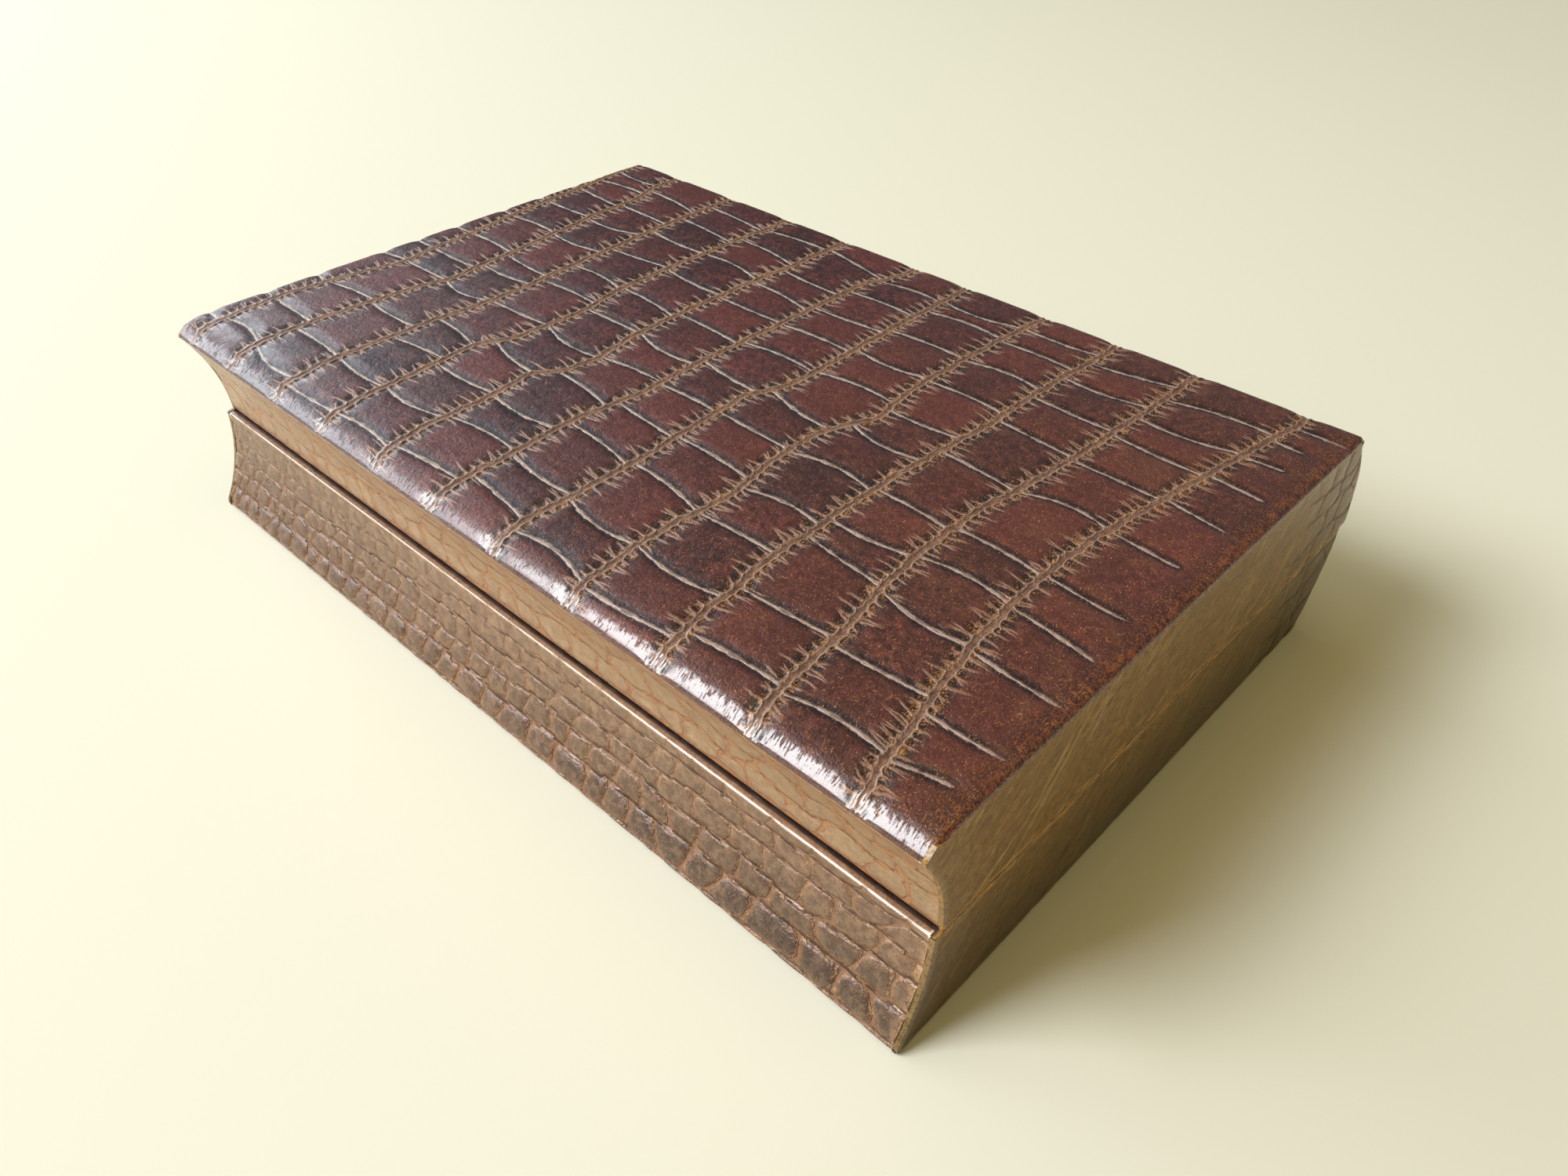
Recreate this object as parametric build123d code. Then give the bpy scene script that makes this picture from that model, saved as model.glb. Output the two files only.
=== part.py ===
from build123d import *
import math
import os

os.makedirs("parts", exist_ok=True)

# A table cigarette box in the form of a lying book: hollow fore-edge in front, round spine behind,
# flat ends, and a lid hinged at the back. Millimetres, +Z up. X runs along the fore-edge and Y from
# the fore-edge to the spine. The origin is the middle of the underside.

# Outer size, over the leather
length = 240.0  # left end to right end
depth = 156.0  # bottom front edge to bottom back edge
height = 55.0  # table to top of the lid
seam_height = 27.0  # middle of the gap between base and lid
seam_gap = 0.4
lid_set_back = 1.8  # the lid sits this far behind the base

# Book shape: how far the front is hollowed and the back rounded at the seam
base_hollow = 7.4
lid_hollow = 7.4
base_bulge = 8.0
lid_bulge = 8.6
base_front_edge = 1.5  # plain upright edge below the base's hollow
base_back_edge = 2.0
lid_front_edge = 4.0  # plain upright edge above the lid's hollow
lid_back_edge = 3.0
lid_front_roll = 3.0  # radius of the soft edge that the padded top rolls over
lid_back_roll = 2.2

# Leather cover
leather = 1.3  # on the sides
pared_leather = 0.9  # where it is thinned and turned over a rim or under the base
top_leather = 1.5
padding = 1.4
turn_under = 12.0  # width of the leather glued under the base
felt = 1.2
felt_gap = 0.5  # between the felt's edge and the turned-under leather

# Wooden carcass
bottom_board = 4.0
top_board = 4.6
front_wall = 6.3  # base front rail at the rim, where it is thinnest
back_wall = 6.7  # base back rail at the bottom, where it is thinnest
end_wall = 6.0

# Cedar lining
cedar = 2.5
cedar_floor_board = 2.0
cedar_lip = 3.5  # how far the base's lining stands above its rim
lip_chamfer = 0.8
lip_clearance = 0.45  # between the lip and the lid's inner walls
lip_headroom = 1.0  # between the lip and the lid's own lining
divider_board = 2.5
divider_drop = 1.5  # divider's top below the lip's top
groove_depth = 1.0
groove_clearance = 0.1  # at each side and at the end of the divider's grooves

# Hinges
hinge_spacing = 150.0  # middle to middle
hinge_length = 30.0
leaf_reach = 14.0  # from the pin's axis to the leaf's inner edge
leaf_board = 1.0
barrel_radius = 2.0
barrel_clearance = 0.4  # between the barrel and whatever turns past it
knuckle_gap = 0.15
knuckle_count = 5
pin_radius = 0.95
pin_clearance = 0.05
recess_clearance = 0.1
screws_per_leaf = 3
screw_spacing = 10.0
screw_length = 8.0
screw_radius = 0.8
screw_head_radius = 1.7
screw_head_depth = 0.85
screw_clearance = 0.04
screw_slot_width = 0.4
screw_slot_depth = 0.3

# Levels that follow
base_rim = seam_height - seam_gap / 2
lid_rim = seam_height + seam_gap / 2
board_underside = felt
turned_underside = felt - pared_leather
floor_level = felt + bottom_board
inside_floor = floor_level + cedar_floor_board
lip_top = base_rim + cedar_lip
padding_top = height - top_leather
board_top = padding_top - padding
board_ceiling = board_top - top_board
inside_ceiling = board_ceiling - cedar_floor_board
lid_lining_foot = lip_top + lip_headroom

# Places that follow
half_length = length / 2
wood_half_length = half_length - leather
base_front = -depth / 2
base_back = depth / 2
lid_front = base_front + lid_set_back
lid_back = base_back + lid_set_back
inner_front = base_front + base_hollow + leather + front_wall
inner_back = base_back - leather - back_wall
inner_end = wood_half_length - end_wall
lid_inner_front = inner_front - lip_clearance
lid_inner_back = inner_back + lip_clearance
lid_inner_end = inner_end + lip_clearance
cedar_front_face = inner_front + cedar
cedar_back_face = inner_back - cedar
cedar_end_face = inner_end - cedar
spine_face = max(base_back + base_bulge, lid_back + lid_bulge)
hinge_y = spine_face + barrel_clearance + barrel_radius
hinge_z = seam_height
screw_y = (hinge_y - leaf_reach + spine_face - leather) / 2


def slab(x_range, y_range, z_range):
    """Box between two limits each way."""
    sides = [high - low for low, high in (x_range, y_range, z_range)]
    middle = [(low + high) / 2 for low, high in (x_range, y_range, z_range)]
    return Pos(*middle) * Box(*sides)


def short_arc(centre, start, end):
    """The short arc about a centre from one point at its radius to another."""
    centre, start, end = Vector(centre), Vector(start), Vector(end)
    outward = ((start + end) / 2 - centre).normalized()
    return ThreePointArc(start, centre + outward * (start - centre).length, end)


class Half:
    """The section of the base or the lid. Its hollow and its bulge are arcs upright at the seam."""

    def __init__(self, front, back, flat, rim, hollow, bulge, front_edge, back_edge):
        self.front, self.back, self.flat, self.rim = front, back, flat, rim
        self.upward = 1 if flat > rim else -1
        front_rise = abs(flat - seam_height) - front_edge
        back_rise = abs(flat - seam_height) - back_edge
        self.front_radius = (hollow**2 + front_rise**2) / (2 * hollow)
        self.back_radius = (bulge**2 + back_rise**2) / (2 * bulge)
        self.front_centre = front + hollow - self.front_radius
        self.back_centre = back + bulge - self.back_radius

    def at_level(self, centre, radius, z):
        """The point of the front or back arc at a given Z."""
        return centre + math.sqrt(radius**2 - (z - seam_height) ** 2), z

    def edge(self, centre, radius, y, flat):
        """Where an arc ends: on the upright edge at a given Y, or on the flat side if that comes first."""
        lip = seam_height + self.upward * math.sqrt(radius**2 - (y - centre) ** 2)
        if self.upward * (flat - lip) > 0:
            return [(y, lip), (y, flat)]
        return [self.at_level(centre, radius, flat)]

    def face(self, inset=0.0, flat=None, rim=None, front_roll=0.0, back_roll=0.0):
        """The section moved in by the cover's thickness, between the given flat side and rim."""
        flat = self.flat if flat is None else flat
        rim = self.rim if rim is None else rim
        front_radius, back_radius = self.front_radius + inset, self.back_radius - inset
        front_rim = self.at_level(self.front_centre, front_radius, rim)
        back_rim = self.at_level(self.back_centre, back_radius, rim)
        front_edge = self.edge(self.front_centre, front_radius, self.front + inset, flat)
        back_edge = self.edge(self.back_centre, back_radius, self.back - inset, flat)
        section = make_face(
            [
                Line(back_rim, front_rim),
                short_arc((self.front_centre, seam_height), front_rim, front_edge[0]),
                Polyline(*front_edge, *reversed(back_edge)),
                short_arc((self.back_centre, seam_height), back_edge[0], back_rim),
            ]
        )
        for edge, roll in ((front_edge, front_roll), (back_edge, back_roll)):
            if roll > inset:
                corner = section.vertices().sort_by_distance(edge[-1])[0]
                section = fillet(corner, roll - inset)
        return section


def bar(face, x_low, x_high):
    """A section swept along X between two limits."""
    return extrude(Plane.YZ.offset(x_low) * face, amount=x_high - x_low)


def save(name, shape):
    shape.label = name
    export_step(shape, f"parts/{name}.step")


base_half = Half(
    base_front,
    base_back,
    turned_underside,
    base_rim,
    base_hollow,
    base_bulge,
    base_front_edge,
    base_back_edge,
)
lid_half = Half(
    lid_front, lid_back, height, lid_rim, lid_hollow, lid_bulge, lid_front_edge, lid_back_edge
)
far = length + depth  # beyond the box in any direction
whole_x = (-wood_half_length, wood_half_length)

# Screws, shared by the hinge leaves and the rails that they bite into


def screw(growth=0.0):
    """Countersunk slotted screw with its head's face at the origin, pointing down."""
    head_depth = screw_head_depth + growth
    cone = Pos(0, 0, -head_depth / 2) * Cone(
        screw_radius + growth, screw_head_radius + growth, head_depth
    )
    shank_end = screw_length - 2 * screw_radius
    shank = Pos(0, 0, -(head_depth + shank_end) / 2) * Cylinder(
        screw_radius + growth, shank_end - head_depth
    )
    tip = Pos(0, 0, -(shank_end + screw_length + growth) / 2) * Cone(
        0.1, screw_radius + growth, screw_length + growth - shank_end
    )
    return cone + shank + tip


def slotted_screw():
    slot = Pos(0, 0, -screw_slot_depth / 2) * Box(far, screw_slot_width, screw_slot_depth)
    return screw() - slot


def screw_places(side):
    """Places of one leaf's screws: side is 1 for the base, heads up, and -1 for the lid, heads down."""
    level = base_rim if side == 1 else lid_rim
    flip = Rot(0, 0, 0) if side == 1 else Rot(180, 0, 0)
    for hinge_x in (-hinge_spacing / 2, hinge_spacing / 2):
        for k in range(screws_per_leaf):
            offset = (k - (screws_per_leaf - 1) / 2) * screw_spacing
            yield Pos(hinge_x + offset, screw_y, level) * flip


base_screw_holes = [place * screw(screw_clearance) for place in screw_places(1)]
lid_screw_holes = [place * screw(screw_clearance) for place in screw_places(-1)]

# Hinges. The base leaf holds the first, third and fifth knuckle, the lid leaf the two between.

knuckle = hinge_length / knuckle_count


def along_hinge(hinge_x, radius, low, high):
    """Cylinder on the hinge's axis between two places measured from the hinge's left end."""
    middle = hinge_x - hinge_length / 2 + (low + high) / 2
    return Pos(middle, hinge_y, hinge_z) * Rot(0, 90, 0) * Cylinder(radius, high - low)


def hinge_leaf(hinge_x, side):
    """One leaf with its knuckles. side is 1 for the base leaf and -1 for the lid leaf."""
    rim = base_rim if side == 1 else lid_rim
    levels = sorted((rim, rim - side * leaf_board))
    ends = (hinge_x - hinge_length / 2, hinge_x + hinge_length / 2)
    leaf = slab(ends, (hinge_y - leaf_reach, hinge_y - pin_radius), levels)
    for k in range(knuckle_count):
        low, high = k * knuckle, (k + 1) * knuckle
        mine = (k % 2 == 0) == (side == 1)
        if mine:
            inset_low = knuckle_gap / 2 if k > 0 else 0.0
            inset_high = knuckle_gap / 2 if k < knuckle_count - 1 else 0.0
            leaf += along_hinge(hinge_x, barrel_radius, low + inset_low, high - inset_high)
        else:
            room = barrel_radius + barrel_clearance / 2
            leaf -= along_hinge(hinge_x, room, low - knuckle_gap / 2, high + knuckle_gap / 2)
    leaf -= along_hinge(hinge_x, pin_radius + pin_clearance, -1, hinge_length + 1)
    for hole in base_screw_holes if side == 1 else lid_screw_holes:
        leaf -= hole
    return leaf


def leaf_recess(hinge_x, side):
    """The room that a rail and its leather leave for a leaf and for the barrel's knuckles."""
    rim = base_rim if side == 1 else lid_rim
    levels = sorted((rim + side * seam_gap, rim - side * leaf_board))
    reach = hinge_length / 2 + recess_clearance
    inner = hinge_y - leaf_reach - recess_clearance
    return slab((hinge_x - reach, hinge_x + reach), (inner, far), levels)


hinges = {"left": -hinge_spacing / 2, "right": hinge_spacing / 2}
base_recesses = [leaf_recess(x, 1) for x in hinges.values()]
lid_recesses = [leaf_recess(x, -1) for x in hinges.values()]

for name, x in hinges.items():
    save(f"{name}_hinge_base_leaf", hinge_leaf(x, 1))
    save(f"{name}_hinge_lid_leaf", hinge_leaf(x, -1))
    save(f"{name}_hinge_pin", along_hinge(x, pin_radius, 0, hinge_length))

save("base_hinge_screws", Compound([place * slotted_screw() for place in screw_places(1)]))
save("lid_hinge_screws", Compound([place * slotted_screw() for place in screw_places(-1)]))

# Base carcass

base_wood_rim = base_rim - pared_leather
base_wood = bar(base_half.face(leather, board_underside, base_wood_rim), *whole_x)
base_walls = base_wood & slab((-far, far), (-far, far), (floor_level, far))
save("base_bottom_board", base_wood & slab((-far, far), (-far, far), (-far, floor_level)))
save("base_front_rail", base_walls & slab((-far, far), (-far, inner_front), (-far, far)))

back_rail = base_walls & slab((-far, far), (inner_back, far), (-far, far))
for room in base_recesses + base_screw_holes:
    back_rail -= room
save("base_back_rail", back_rail)

for name, side in (("left", -1), ("right", 1)):
    x_range = sorted((side * inner_end, side * wood_half_length))
    board = slab(x_range, (inner_front, inner_back), (floor_level, base_wood_rim))
    save(f"base_{name}_end", board)

# Base leather: each side is turned over the rim and under the board

base_cover = bar(base_half.face(), *whole_x) - bar(
    base_half.face(leather, board_underside, base_wood_rim), *whole_x
)
above_board = (board_underside, far)
below_board = (-far, board_underside)
front_turn = base_front + leather + turn_under
back_turn = base_back - leather - turn_under
front_leather = base_cover & slab((-far, far), (-far, inner_front), above_board)
front_leather += base_cover & slab((-far, far), (-far, front_turn), below_board)
save("base_front_leather", front_leather)

back_leather = base_cover & slab((-far, far), (inner_back, far), above_board)
back_leather += base_cover & slab((-far, far), (back_turn, far), below_board)
for room in base_recesses:
    back_leather -= room
save("base_back_leather", back_leather)

end_turn = wood_half_length - turn_under
for name, side in (("left", -1), ("right", 1)):
    outer = sorted((side * wood_half_length, side * half_length))
    over_rim = sorted((side * inner_end, side * wood_half_length))
    under_board = sorted((side * end_turn, side * wood_half_length))
    end_leather = bar(base_half.face(), *outer)
    end_leather += slab(over_rim, (inner_front, inner_back), (base_wood_rim, base_rim))
    end_leather += slab(under_board, (front_turn, back_turn), (turned_underside, board_underside))
    save(f"base_{name}_leather", end_leather)

felt_x = end_turn - felt_gap
felt_sheet = slab(
    (-felt_x, felt_x), (front_turn + felt_gap, back_turn - felt_gap), (0, board_underside)
)
save("base_underside_felt", felt_sheet)

# Cedar lining of the base, with the lip that locates the lid

floor = slab((-inner_end, inner_end), (inner_front, inner_back), (floor_level, inside_floor))
save("cedar_floor", floor)

lining_outside = slab(
    (-inner_end, inner_end), (inner_front, inner_back), (inside_floor, lip_top)
)
lining_outside = chamfer(lining_outside.faces().sort_by(Axis.Z)[-1].edges(), lip_chamfer)
side_x = (-cedar_end_face, cedar_end_face)
middle_y = (cedar_front_face, cedar_back_face)
groove_x = (-divider_board / 2 - groove_clearance, divider_board / 2 + groove_clearance)
groove_y = (cedar_front_face - groove_depth, cedar_back_face + groove_depth)
grooves = slab(groove_x, groove_y, (inside_floor, far))
linings = {
    "front": slab((-far, far), (-far, cedar_front_face), (-far, far)),
    "back": slab((-far, far), (cedar_back_face, far), (-far, far)),
    "left": slab((-far, -cedar_end_face), middle_y, (-far, far)),
    "right": slab((cedar_end_face, far), middle_y, (-far, far)),
}
for name, place in linings.items():
    save(f"cedar_{name}_lining", (lining_outside & place) - grooves)

divider_ends = (groove_y[0] + groove_clearance, groove_y[1] - groove_clearance)
divider = slab(
    (-divider_board / 2, divider_board / 2), divider_ends, (inside_floor, lip_top - divider_drop)
)
save("cedar_divider", divider)

# Lid carcass

lid_wood_rim = lid_rim + pared_leather
rolls = {"front_roll": lid_front_roll, "back_roll": lid_back_roll}
lid_filled = bar(lid_half.face(leather, padding_top, lid_wood_rim, **rolls), *whole_x)
lid_walls = lid_filled & slab((-far, far), (-far, far), (-far, board_ceiling))
save("lid_top_board", lid_filled & slab((-far, far), (-far, far), (board_ceiling, board_top)))
save("lid_front_rail", lid_walls & slab((-far, far), (-far, lid_inner_front), (-far, far)))

lid_back_rail = lid_walls & slab((-far, far), (lid_inner_back, far), (-far, far))
for room in lid_recesses + lid_screw_holes:
    lid_back_rail -= room
save("lid_back_rail", lid_back_rail)

for name, side in (("left", -1), ("right", 1)):
    x_range = sorted((side * lid_inner_end, side * wood_half_length))
    board = slab(x_range, (lid_inner_front, lid_inner_back), (lid_wood_rim, board_ceiling))
    save(f"lid_{name}_end", board)

# Padding and the top leather that rolls over it

pad = lid_filled & slab((-far, far), (-far, far), (board_top, far))
save("lid_padding", pad)

lid_solid = bar(lid_half.face(**rolls), *whole_x)
lid_cover = lid_solid - lid_filled
front_skirt = slab((-far, far), (-far, 0), (height - lid_front_edge, far))
back_skirt = slab((-far, far), (0, far), (height - lid_back_edge, far))
top_panel = (lid_cover & front_skirt) + (lid_cover & back_skirt)
end_caps = bar(lid_half.face(**rolls), -half_length, half_length)
top_panel += end_caps & slab((-far, far), (-far, far), (padding_top, far))
save("lid_top_leather", top_panel)

# Lid leather on the four sides, turned in over the rim

side_cover = bar(lid_half.face(**rolls), *whole_x) - bar(
    lid_half.face(leather, height, lid_wood_rim, **rolls), *whole_x
)
lid_front_skin = side_cover & slab(
    (-far, far), (-far, lid_inner_front), (-far, height - lid_front_edge)
)
save("lid_front_leather", lid_front_skin)

lid_back_skin = side_cover & slab(
    (-far, far), (lid_inner_back, far), (-far, height - lid_back_edge)
)
for room in lid_recesses:
    lid_back_skin -= room
save("lid_back_leather", lid_back_skin)

for name, side in (("left", -1), ("right", 1)):
    outer = sorted((side * wood_half_length, side * half_length))
    over_rim = sorted((side * lid_inner_end, side * wood_half_length))
    lid_end_skin = bar(lid_half.face(**rolls), *outer)
    lid_end_skin &= slab((-far, far), (-far, far), (-far, padding_top))
    lid_end_skin += slab(over_rim, (lid_inner_front, lid_inner_back), (lid_rim, lid_wood_rim))
    save(f"lid_{name}_leather", lid_end_skin)

# Cedar lining of the lid

lid_lining_x = (-lid_inner_end, lid_inner_end)
panel = slab(lid_lining_x, (lid_inner_front, lid_inner_back), (inside_ceiling, board_ceiling))
save("lid_cedar_panel", panel)

strip_z = (lid_lining_foot, inside_ceiling)
strip_front = lid_inner_front + cedar
strip_back = lid_inner_back - cedar
strip_end = lid_inner_end - cedar
lid_linings = {
    "front": slab(lid_lining_x, (lid_inner_front, strip_front), strip_z),
    "back": slab(lid_lining_x, (strip_back, lid_inner_back), strip_z),
    "left": slab((-lid_inner_end, -strip_end), (strip_front, strip_back), strip_z),
    "right": slab((strip_end, lid_inner_end), (strip_front, strip_back), strip_z),
}
for name, strip in lid_linings.items():
    save(f"lid_cedar_{name}", strip)

print(f"hinge axis at y {hinge_y:.2f}, z {hinge_z:.2f}")
print(f"inside: x {cedar_end_face:.2f}, y {cedar_front_face:.2f} to {cedar_back_face:.2f}")
print(f"floor {inside_floor:.2f}, lip {lip_top:.2f}, lid lining {lid_lining_foot:.2f}")
print(f"lid inside: x {strip_end:.2f}, y {strip_front:.2f} to {strip_back:.2f}, z {inside_ceiling:.2f}")
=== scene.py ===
# %% [markdown]
# # A cigarette box in the shape of a lying book
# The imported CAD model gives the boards, linings, hinges and screws. This lesson covers them in leather
# with a crocodile grain, one cut piece at a time, and gives the wood, cedar, felt, brass and steel their
# finish.

import math

import bmesh
import bpy
import numpy as np
from mathutils import Matrix, Vector


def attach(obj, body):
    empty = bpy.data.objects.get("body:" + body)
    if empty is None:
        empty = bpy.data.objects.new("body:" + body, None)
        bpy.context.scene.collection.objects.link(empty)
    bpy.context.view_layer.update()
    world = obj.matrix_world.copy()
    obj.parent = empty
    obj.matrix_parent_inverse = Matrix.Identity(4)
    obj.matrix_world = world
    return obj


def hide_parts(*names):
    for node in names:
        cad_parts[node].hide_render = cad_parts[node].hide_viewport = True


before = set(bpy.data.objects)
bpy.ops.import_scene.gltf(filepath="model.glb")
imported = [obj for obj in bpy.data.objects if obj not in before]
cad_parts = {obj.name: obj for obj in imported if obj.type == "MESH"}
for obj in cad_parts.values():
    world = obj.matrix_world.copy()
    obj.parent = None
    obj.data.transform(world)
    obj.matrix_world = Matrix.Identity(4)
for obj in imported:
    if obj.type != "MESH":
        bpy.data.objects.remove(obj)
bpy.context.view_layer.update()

# %% [markdown]
# ## The camera
# The photograph was taken with a wide lens, close to the box. Its place, turn and lens come from the
# box's own corners in the photograph, so the render and the photograph line up.

# %% Place the camera
FOCAL_PIXELS, PHOTO_PIXELS, SENSOR_MM = 1522.64, 2000, 36
CAMERA_PLACE = (0.179245, -0.171153, 0.195009)
azimuth, elevation, roll = (math.radians(a) for a in (43.001, 39.478, 0.362))
flat_part = math.cos(elevation)
back = Vector((math.sin(azimuth) * flat_part, -math.cos(azimuth) * flat_part, math.sin(elevation)))
level = Vector((math.cos(azimuth), math.sin(azimuth), 0))
upward = back.cross(level)
right = math.cos(roll) * level + math.sin(roll) * upward
up = math.cos(roll) * upward - math.sin(roll) * level
camera = bpy.data.objects.new("camera", bpy.data.cameras.new("camera"))
camera.data.sensor_width = SENSOR_MM
camera.data.lens = SENSOR_MM * FOCAL_PIXELS / PHOTO_PIXELS
camera.data.clip_start = 0.01
turned = Matrix((right, up, back)).transposed().to_4x4()
camera.matrix_world = Matrix.Translation(CAMERA_PLACE) @ turned
bpy.context.scene.collection.objects.link(camera)
bpy.context.scene.camera = camera
print("lens in mm:", round(camera.data.lens, 2))

# %% [markdown]
# ## The section of the box
# Both halves have one section over their whole length: a hollow front like a book's fore-edge and a
# rounded back like a spine. Each long side is an arc that stands upright at the seam and ends in a short
# upright edge next to the flat side. The lid's front band ends at BAND_TOP, and its end panels at END_TOP,
# under the top leather. Everything is in millimetres until a mesh is finished.

# %% The four long sides
MM = 0.001
SEAM, HEIGHT = 27.0, 55.0
HALF_LENGTH = 120.0
LEATHER, PARED, TOP_LEATHER = 1.3, 0.9, 1.5
COVERED = HALF_LENGTH - LEATHER
BAND_TOP, END_TOP = 51, 53.3


class LongSide:
    """A long side of one half: how far out it is at each height."""

    def __init__(self, outer, flat, depth, edge):
        self.outer, self.depth = outer, depth
        self.rise = abs(flat - SEAM) - edge
        self.radius = (depth**2 + self.rise**2) / (2 * depth)

    def out(self, z):
        height = np.minimum(np.abs(np.asarray(z, float) - SEAM), self.rise)
        return self.outer + self.depth - self.radius + np.sqrt(self.radius**2 - height**2)

    def at(self, z):
        """The point of the section at one height."""
        return float(self.out(z)), z

    def corners(self, low, high, step=1.5):
        """Points up the side from one height to another, with the softening of each."""
        return [(*self.at(z), 0.6) for z in np.linspace(low, high, int((high - low) / step) + 2)]


base_front = LongSide(-78, 0.3, 7.4, 1.5)
base_back = LongSide(78, 0.3, 8.0, 2.0)
lid_front = LongSide(-76.2, 55, 7.4, 4.0)
lid_back = LongSide(79.8, 55, 8.6, 3.0)
print("arc radii in mm:", [round(side.radius, 1) for side in (base_front, base_back, lid_front, lid_back)])

# %% [markdown]
# ## Laying leather over a corner
# Leather doesn't fold sharply: it bends round a corner. The line that a strip follows is given by its
# corners, each with the width over which it is softened, and a moving average of that width rounds it.

# %% The line that a strip of leather follows
LINE_STEP = 0.05
LEAD = 8.0
LEAST_SOFTENING = 0.3


class LaidLine:
    """A softened line over the box. Its hand is 1 if the outside lies to the left of its run, or -1."""

    def __init__(self, corners, hand=1):
        points = np.array([corner[:2] for corner in corners], float)
        start = points[0] - LEAD * (points[1] - points[0]) / np.linalg.norm(points[1] - points[0])
        end = points[-1] + LEAD * (points[-1] - points[-2]) / np.linalg.norm(points[-1] - points[-2])
        line = np.vstack([start, points, end])
        marks = np.concatenate([[0], np.cumsum(np.linalg.norm(np.diff(line, axis=0), axis=1))])
        places = np.arange(0, marks[-1], LINE_STEP)
        track = np.stack([np.interp(places, marks, line[:, k]) for k in (0, 1)], axis=1)
        total = np.cumsum(track, axis=0) * LINE_STEP
        window = np.full(len(places), LEAST_SOFTENING)
        for mark, corner in zip(marks[1:-1], corners):
            width = corner[2]
            window = np.maximum(window, width - 2 * np.maximum(0, np.abs(places - mark) - width / 2))
        before, after = places - window / 2, places + window / 2
        gains = [np.interp(after, places, column) - np.interp(before, places, column) for column in total.T]
        smooth = np.stack(gains, axis=1) / window[:, None]
        kept = (places >= LEAD) & (places <= marks[-1] - LEAD)
        self.point = smooth[kept]
        slope = np.gradient(self.point, axis=0)
        slope /= np.linalg.norm(slope, axis=1)[:, None]
        self.out = hand * np.stack([-slope[:, 1], slope[:, 0]], axis=1)
        self.place = np.concatenate([[0], np.cumsum(np.linalg.norm(np.diff(self.point, axis=0), axis=1))])
        self.length = self.place[-1]

    def at(self, place):
        """The point and the outward direction at each place along the line."""
        point = np.stack([np.interp(place, self.place, self.point[:, k]) for k in (0, 1)], axis=-1)
        out = np.stack([np.interp(place, self.place, self.out[:, k]) for k in (0, 1)], axis=-1)
        return point, out / np.linalg.norm(out, axis=-1, keepdims=True)

    def nearest(self, y, z):
        """The place along the line that is nearest to a point."""
        return float(self.place[np.argmin(np.hypot(self.point[:, 0] - y, self.point[:, 1] - z))])


def ease(value, low, high):
    """0 below low, 1 above high, and a smooth rise between them."""
    share = np.clip((np.asarray(value, float) - low) / (high - low), 0, 1)
    return share * share * (3 - 2 * share)


def bump(distance, width):
    """1 at distance 0, falling smoothly to 0 over about the width."""
    return np.exp(-(np.asarray(distance, float) / width) ** 2)


# %% [markdown]
# ## Rows of scales
# A crocodile's scales lie in rows. On this box a row is bounded by two long wavy lines, and short creases
# divide it into scales, staggered from row to row. So a place on the skin has two numbers: which row it
# is in and how far across, and which scale of the row and how far along. The relief and the colours are
# both made from them.

# %% Find each place's row and scale
MOST_SCALES = 40


class ScaleRows:
    """The lines between rows and the creases inside them, in millimetres along and across the rows.

    Pitch, length and margin say how wide a row and how long a scale is beyond the last line and crease."""

    def __init__(self, lines, creases, pitch, length, margin=0.0):
        self.lines, self.creases, self.pitch, self.length, self.margin = lines, creases, pitch, length, margin

    def levels(self, along):
        found = np.array([np.interp(along, *line) for line in self.lines])
        beyond = self.pitch + self.margin
        return np.vstack([found[:1] - beyond, found, found[-1:] + beyond])

    def row(self, along, across):
        """The row's number and share, and the distance to its nearer line in mm."""
        levels = self.levels(along)
        slopes = self.levels(along + 0.5) - self.levels(along - 0.5)
        index = (across > levels[1:-1]).sum(axis=0)
        low, high = (np.take_along_axis(levels, index[None] + k, 0)[0] for k in (0, 1))
        share = np.clip((across - low) / (high - low), 0.0, 0.99999)
        nearer = index + (share > 0.5)
        slope = np.take_along_axis(slopes, nearer[None], 0)[0]
        distance = np.minimum(share, 1 - share) * (high - low) / np.sqrt(1 + slope**2)
        return index + share, distance

    def scale(self, along, row):
        """The scale's number and share, and its length in mm."""
        index = np.clip(np.floor(row).astype(int), 0, len(self.creases) - 1)
        share = row - np.floor(row)
        found, length = np.zeros(len(row)), np.full(len(row), self.length)
        for k, pairs in enumerate(self.creases):
            mine = index == k
            pairs = np.asarray(pairs, float)
            side = share[mine][None]
            places = pairs[:, :1] + (pairs[:, 1:2] - pairs[:, :1]) * side
            places = places + np.sin(np.pi * side) * pairs[:, 2:3]
            places = np.vstack([places[:1] - self.length, places, places[-1:] + self.length])
            count = (along[mine][None] > places[1:-1]).sum(axis=0)
            low, high = (np.take_along_axis(places, count[None] + n, 0)[0] for n in (0, 1))
            part = np.clip((along[mine] - low) / (high - low), 0.0, 0.99999)
            found[mine] = MOST_SCALES * k + count + part
            length[mine] = high - low
        return found, length


def smooth_line(points, window, sway, seed):
    """A line through a few points, rounded over a window, with a small seeded sway."""
    points = np.array(sorted(points), float)
    places = np.arange(points[0, 0] - 20, points[-1, 0] + 20, 0.5)
    across = np.interp(places, points[:, 0], points[:, 1])
    count = max(1, int(window / 0.5))
    padded = np.pad(across, count, mode="edge")
    across = np.convolve(padded, np.ones(count) / count, mode="same")[count:-count]
    chance = np.random.default_rng(seed)
    knots = np.arange(places[0], places[-1] + 3, 3.0)
    return places, across + np.interp(places, knots, chance.normal(0, sway, len(knots)))


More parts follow.
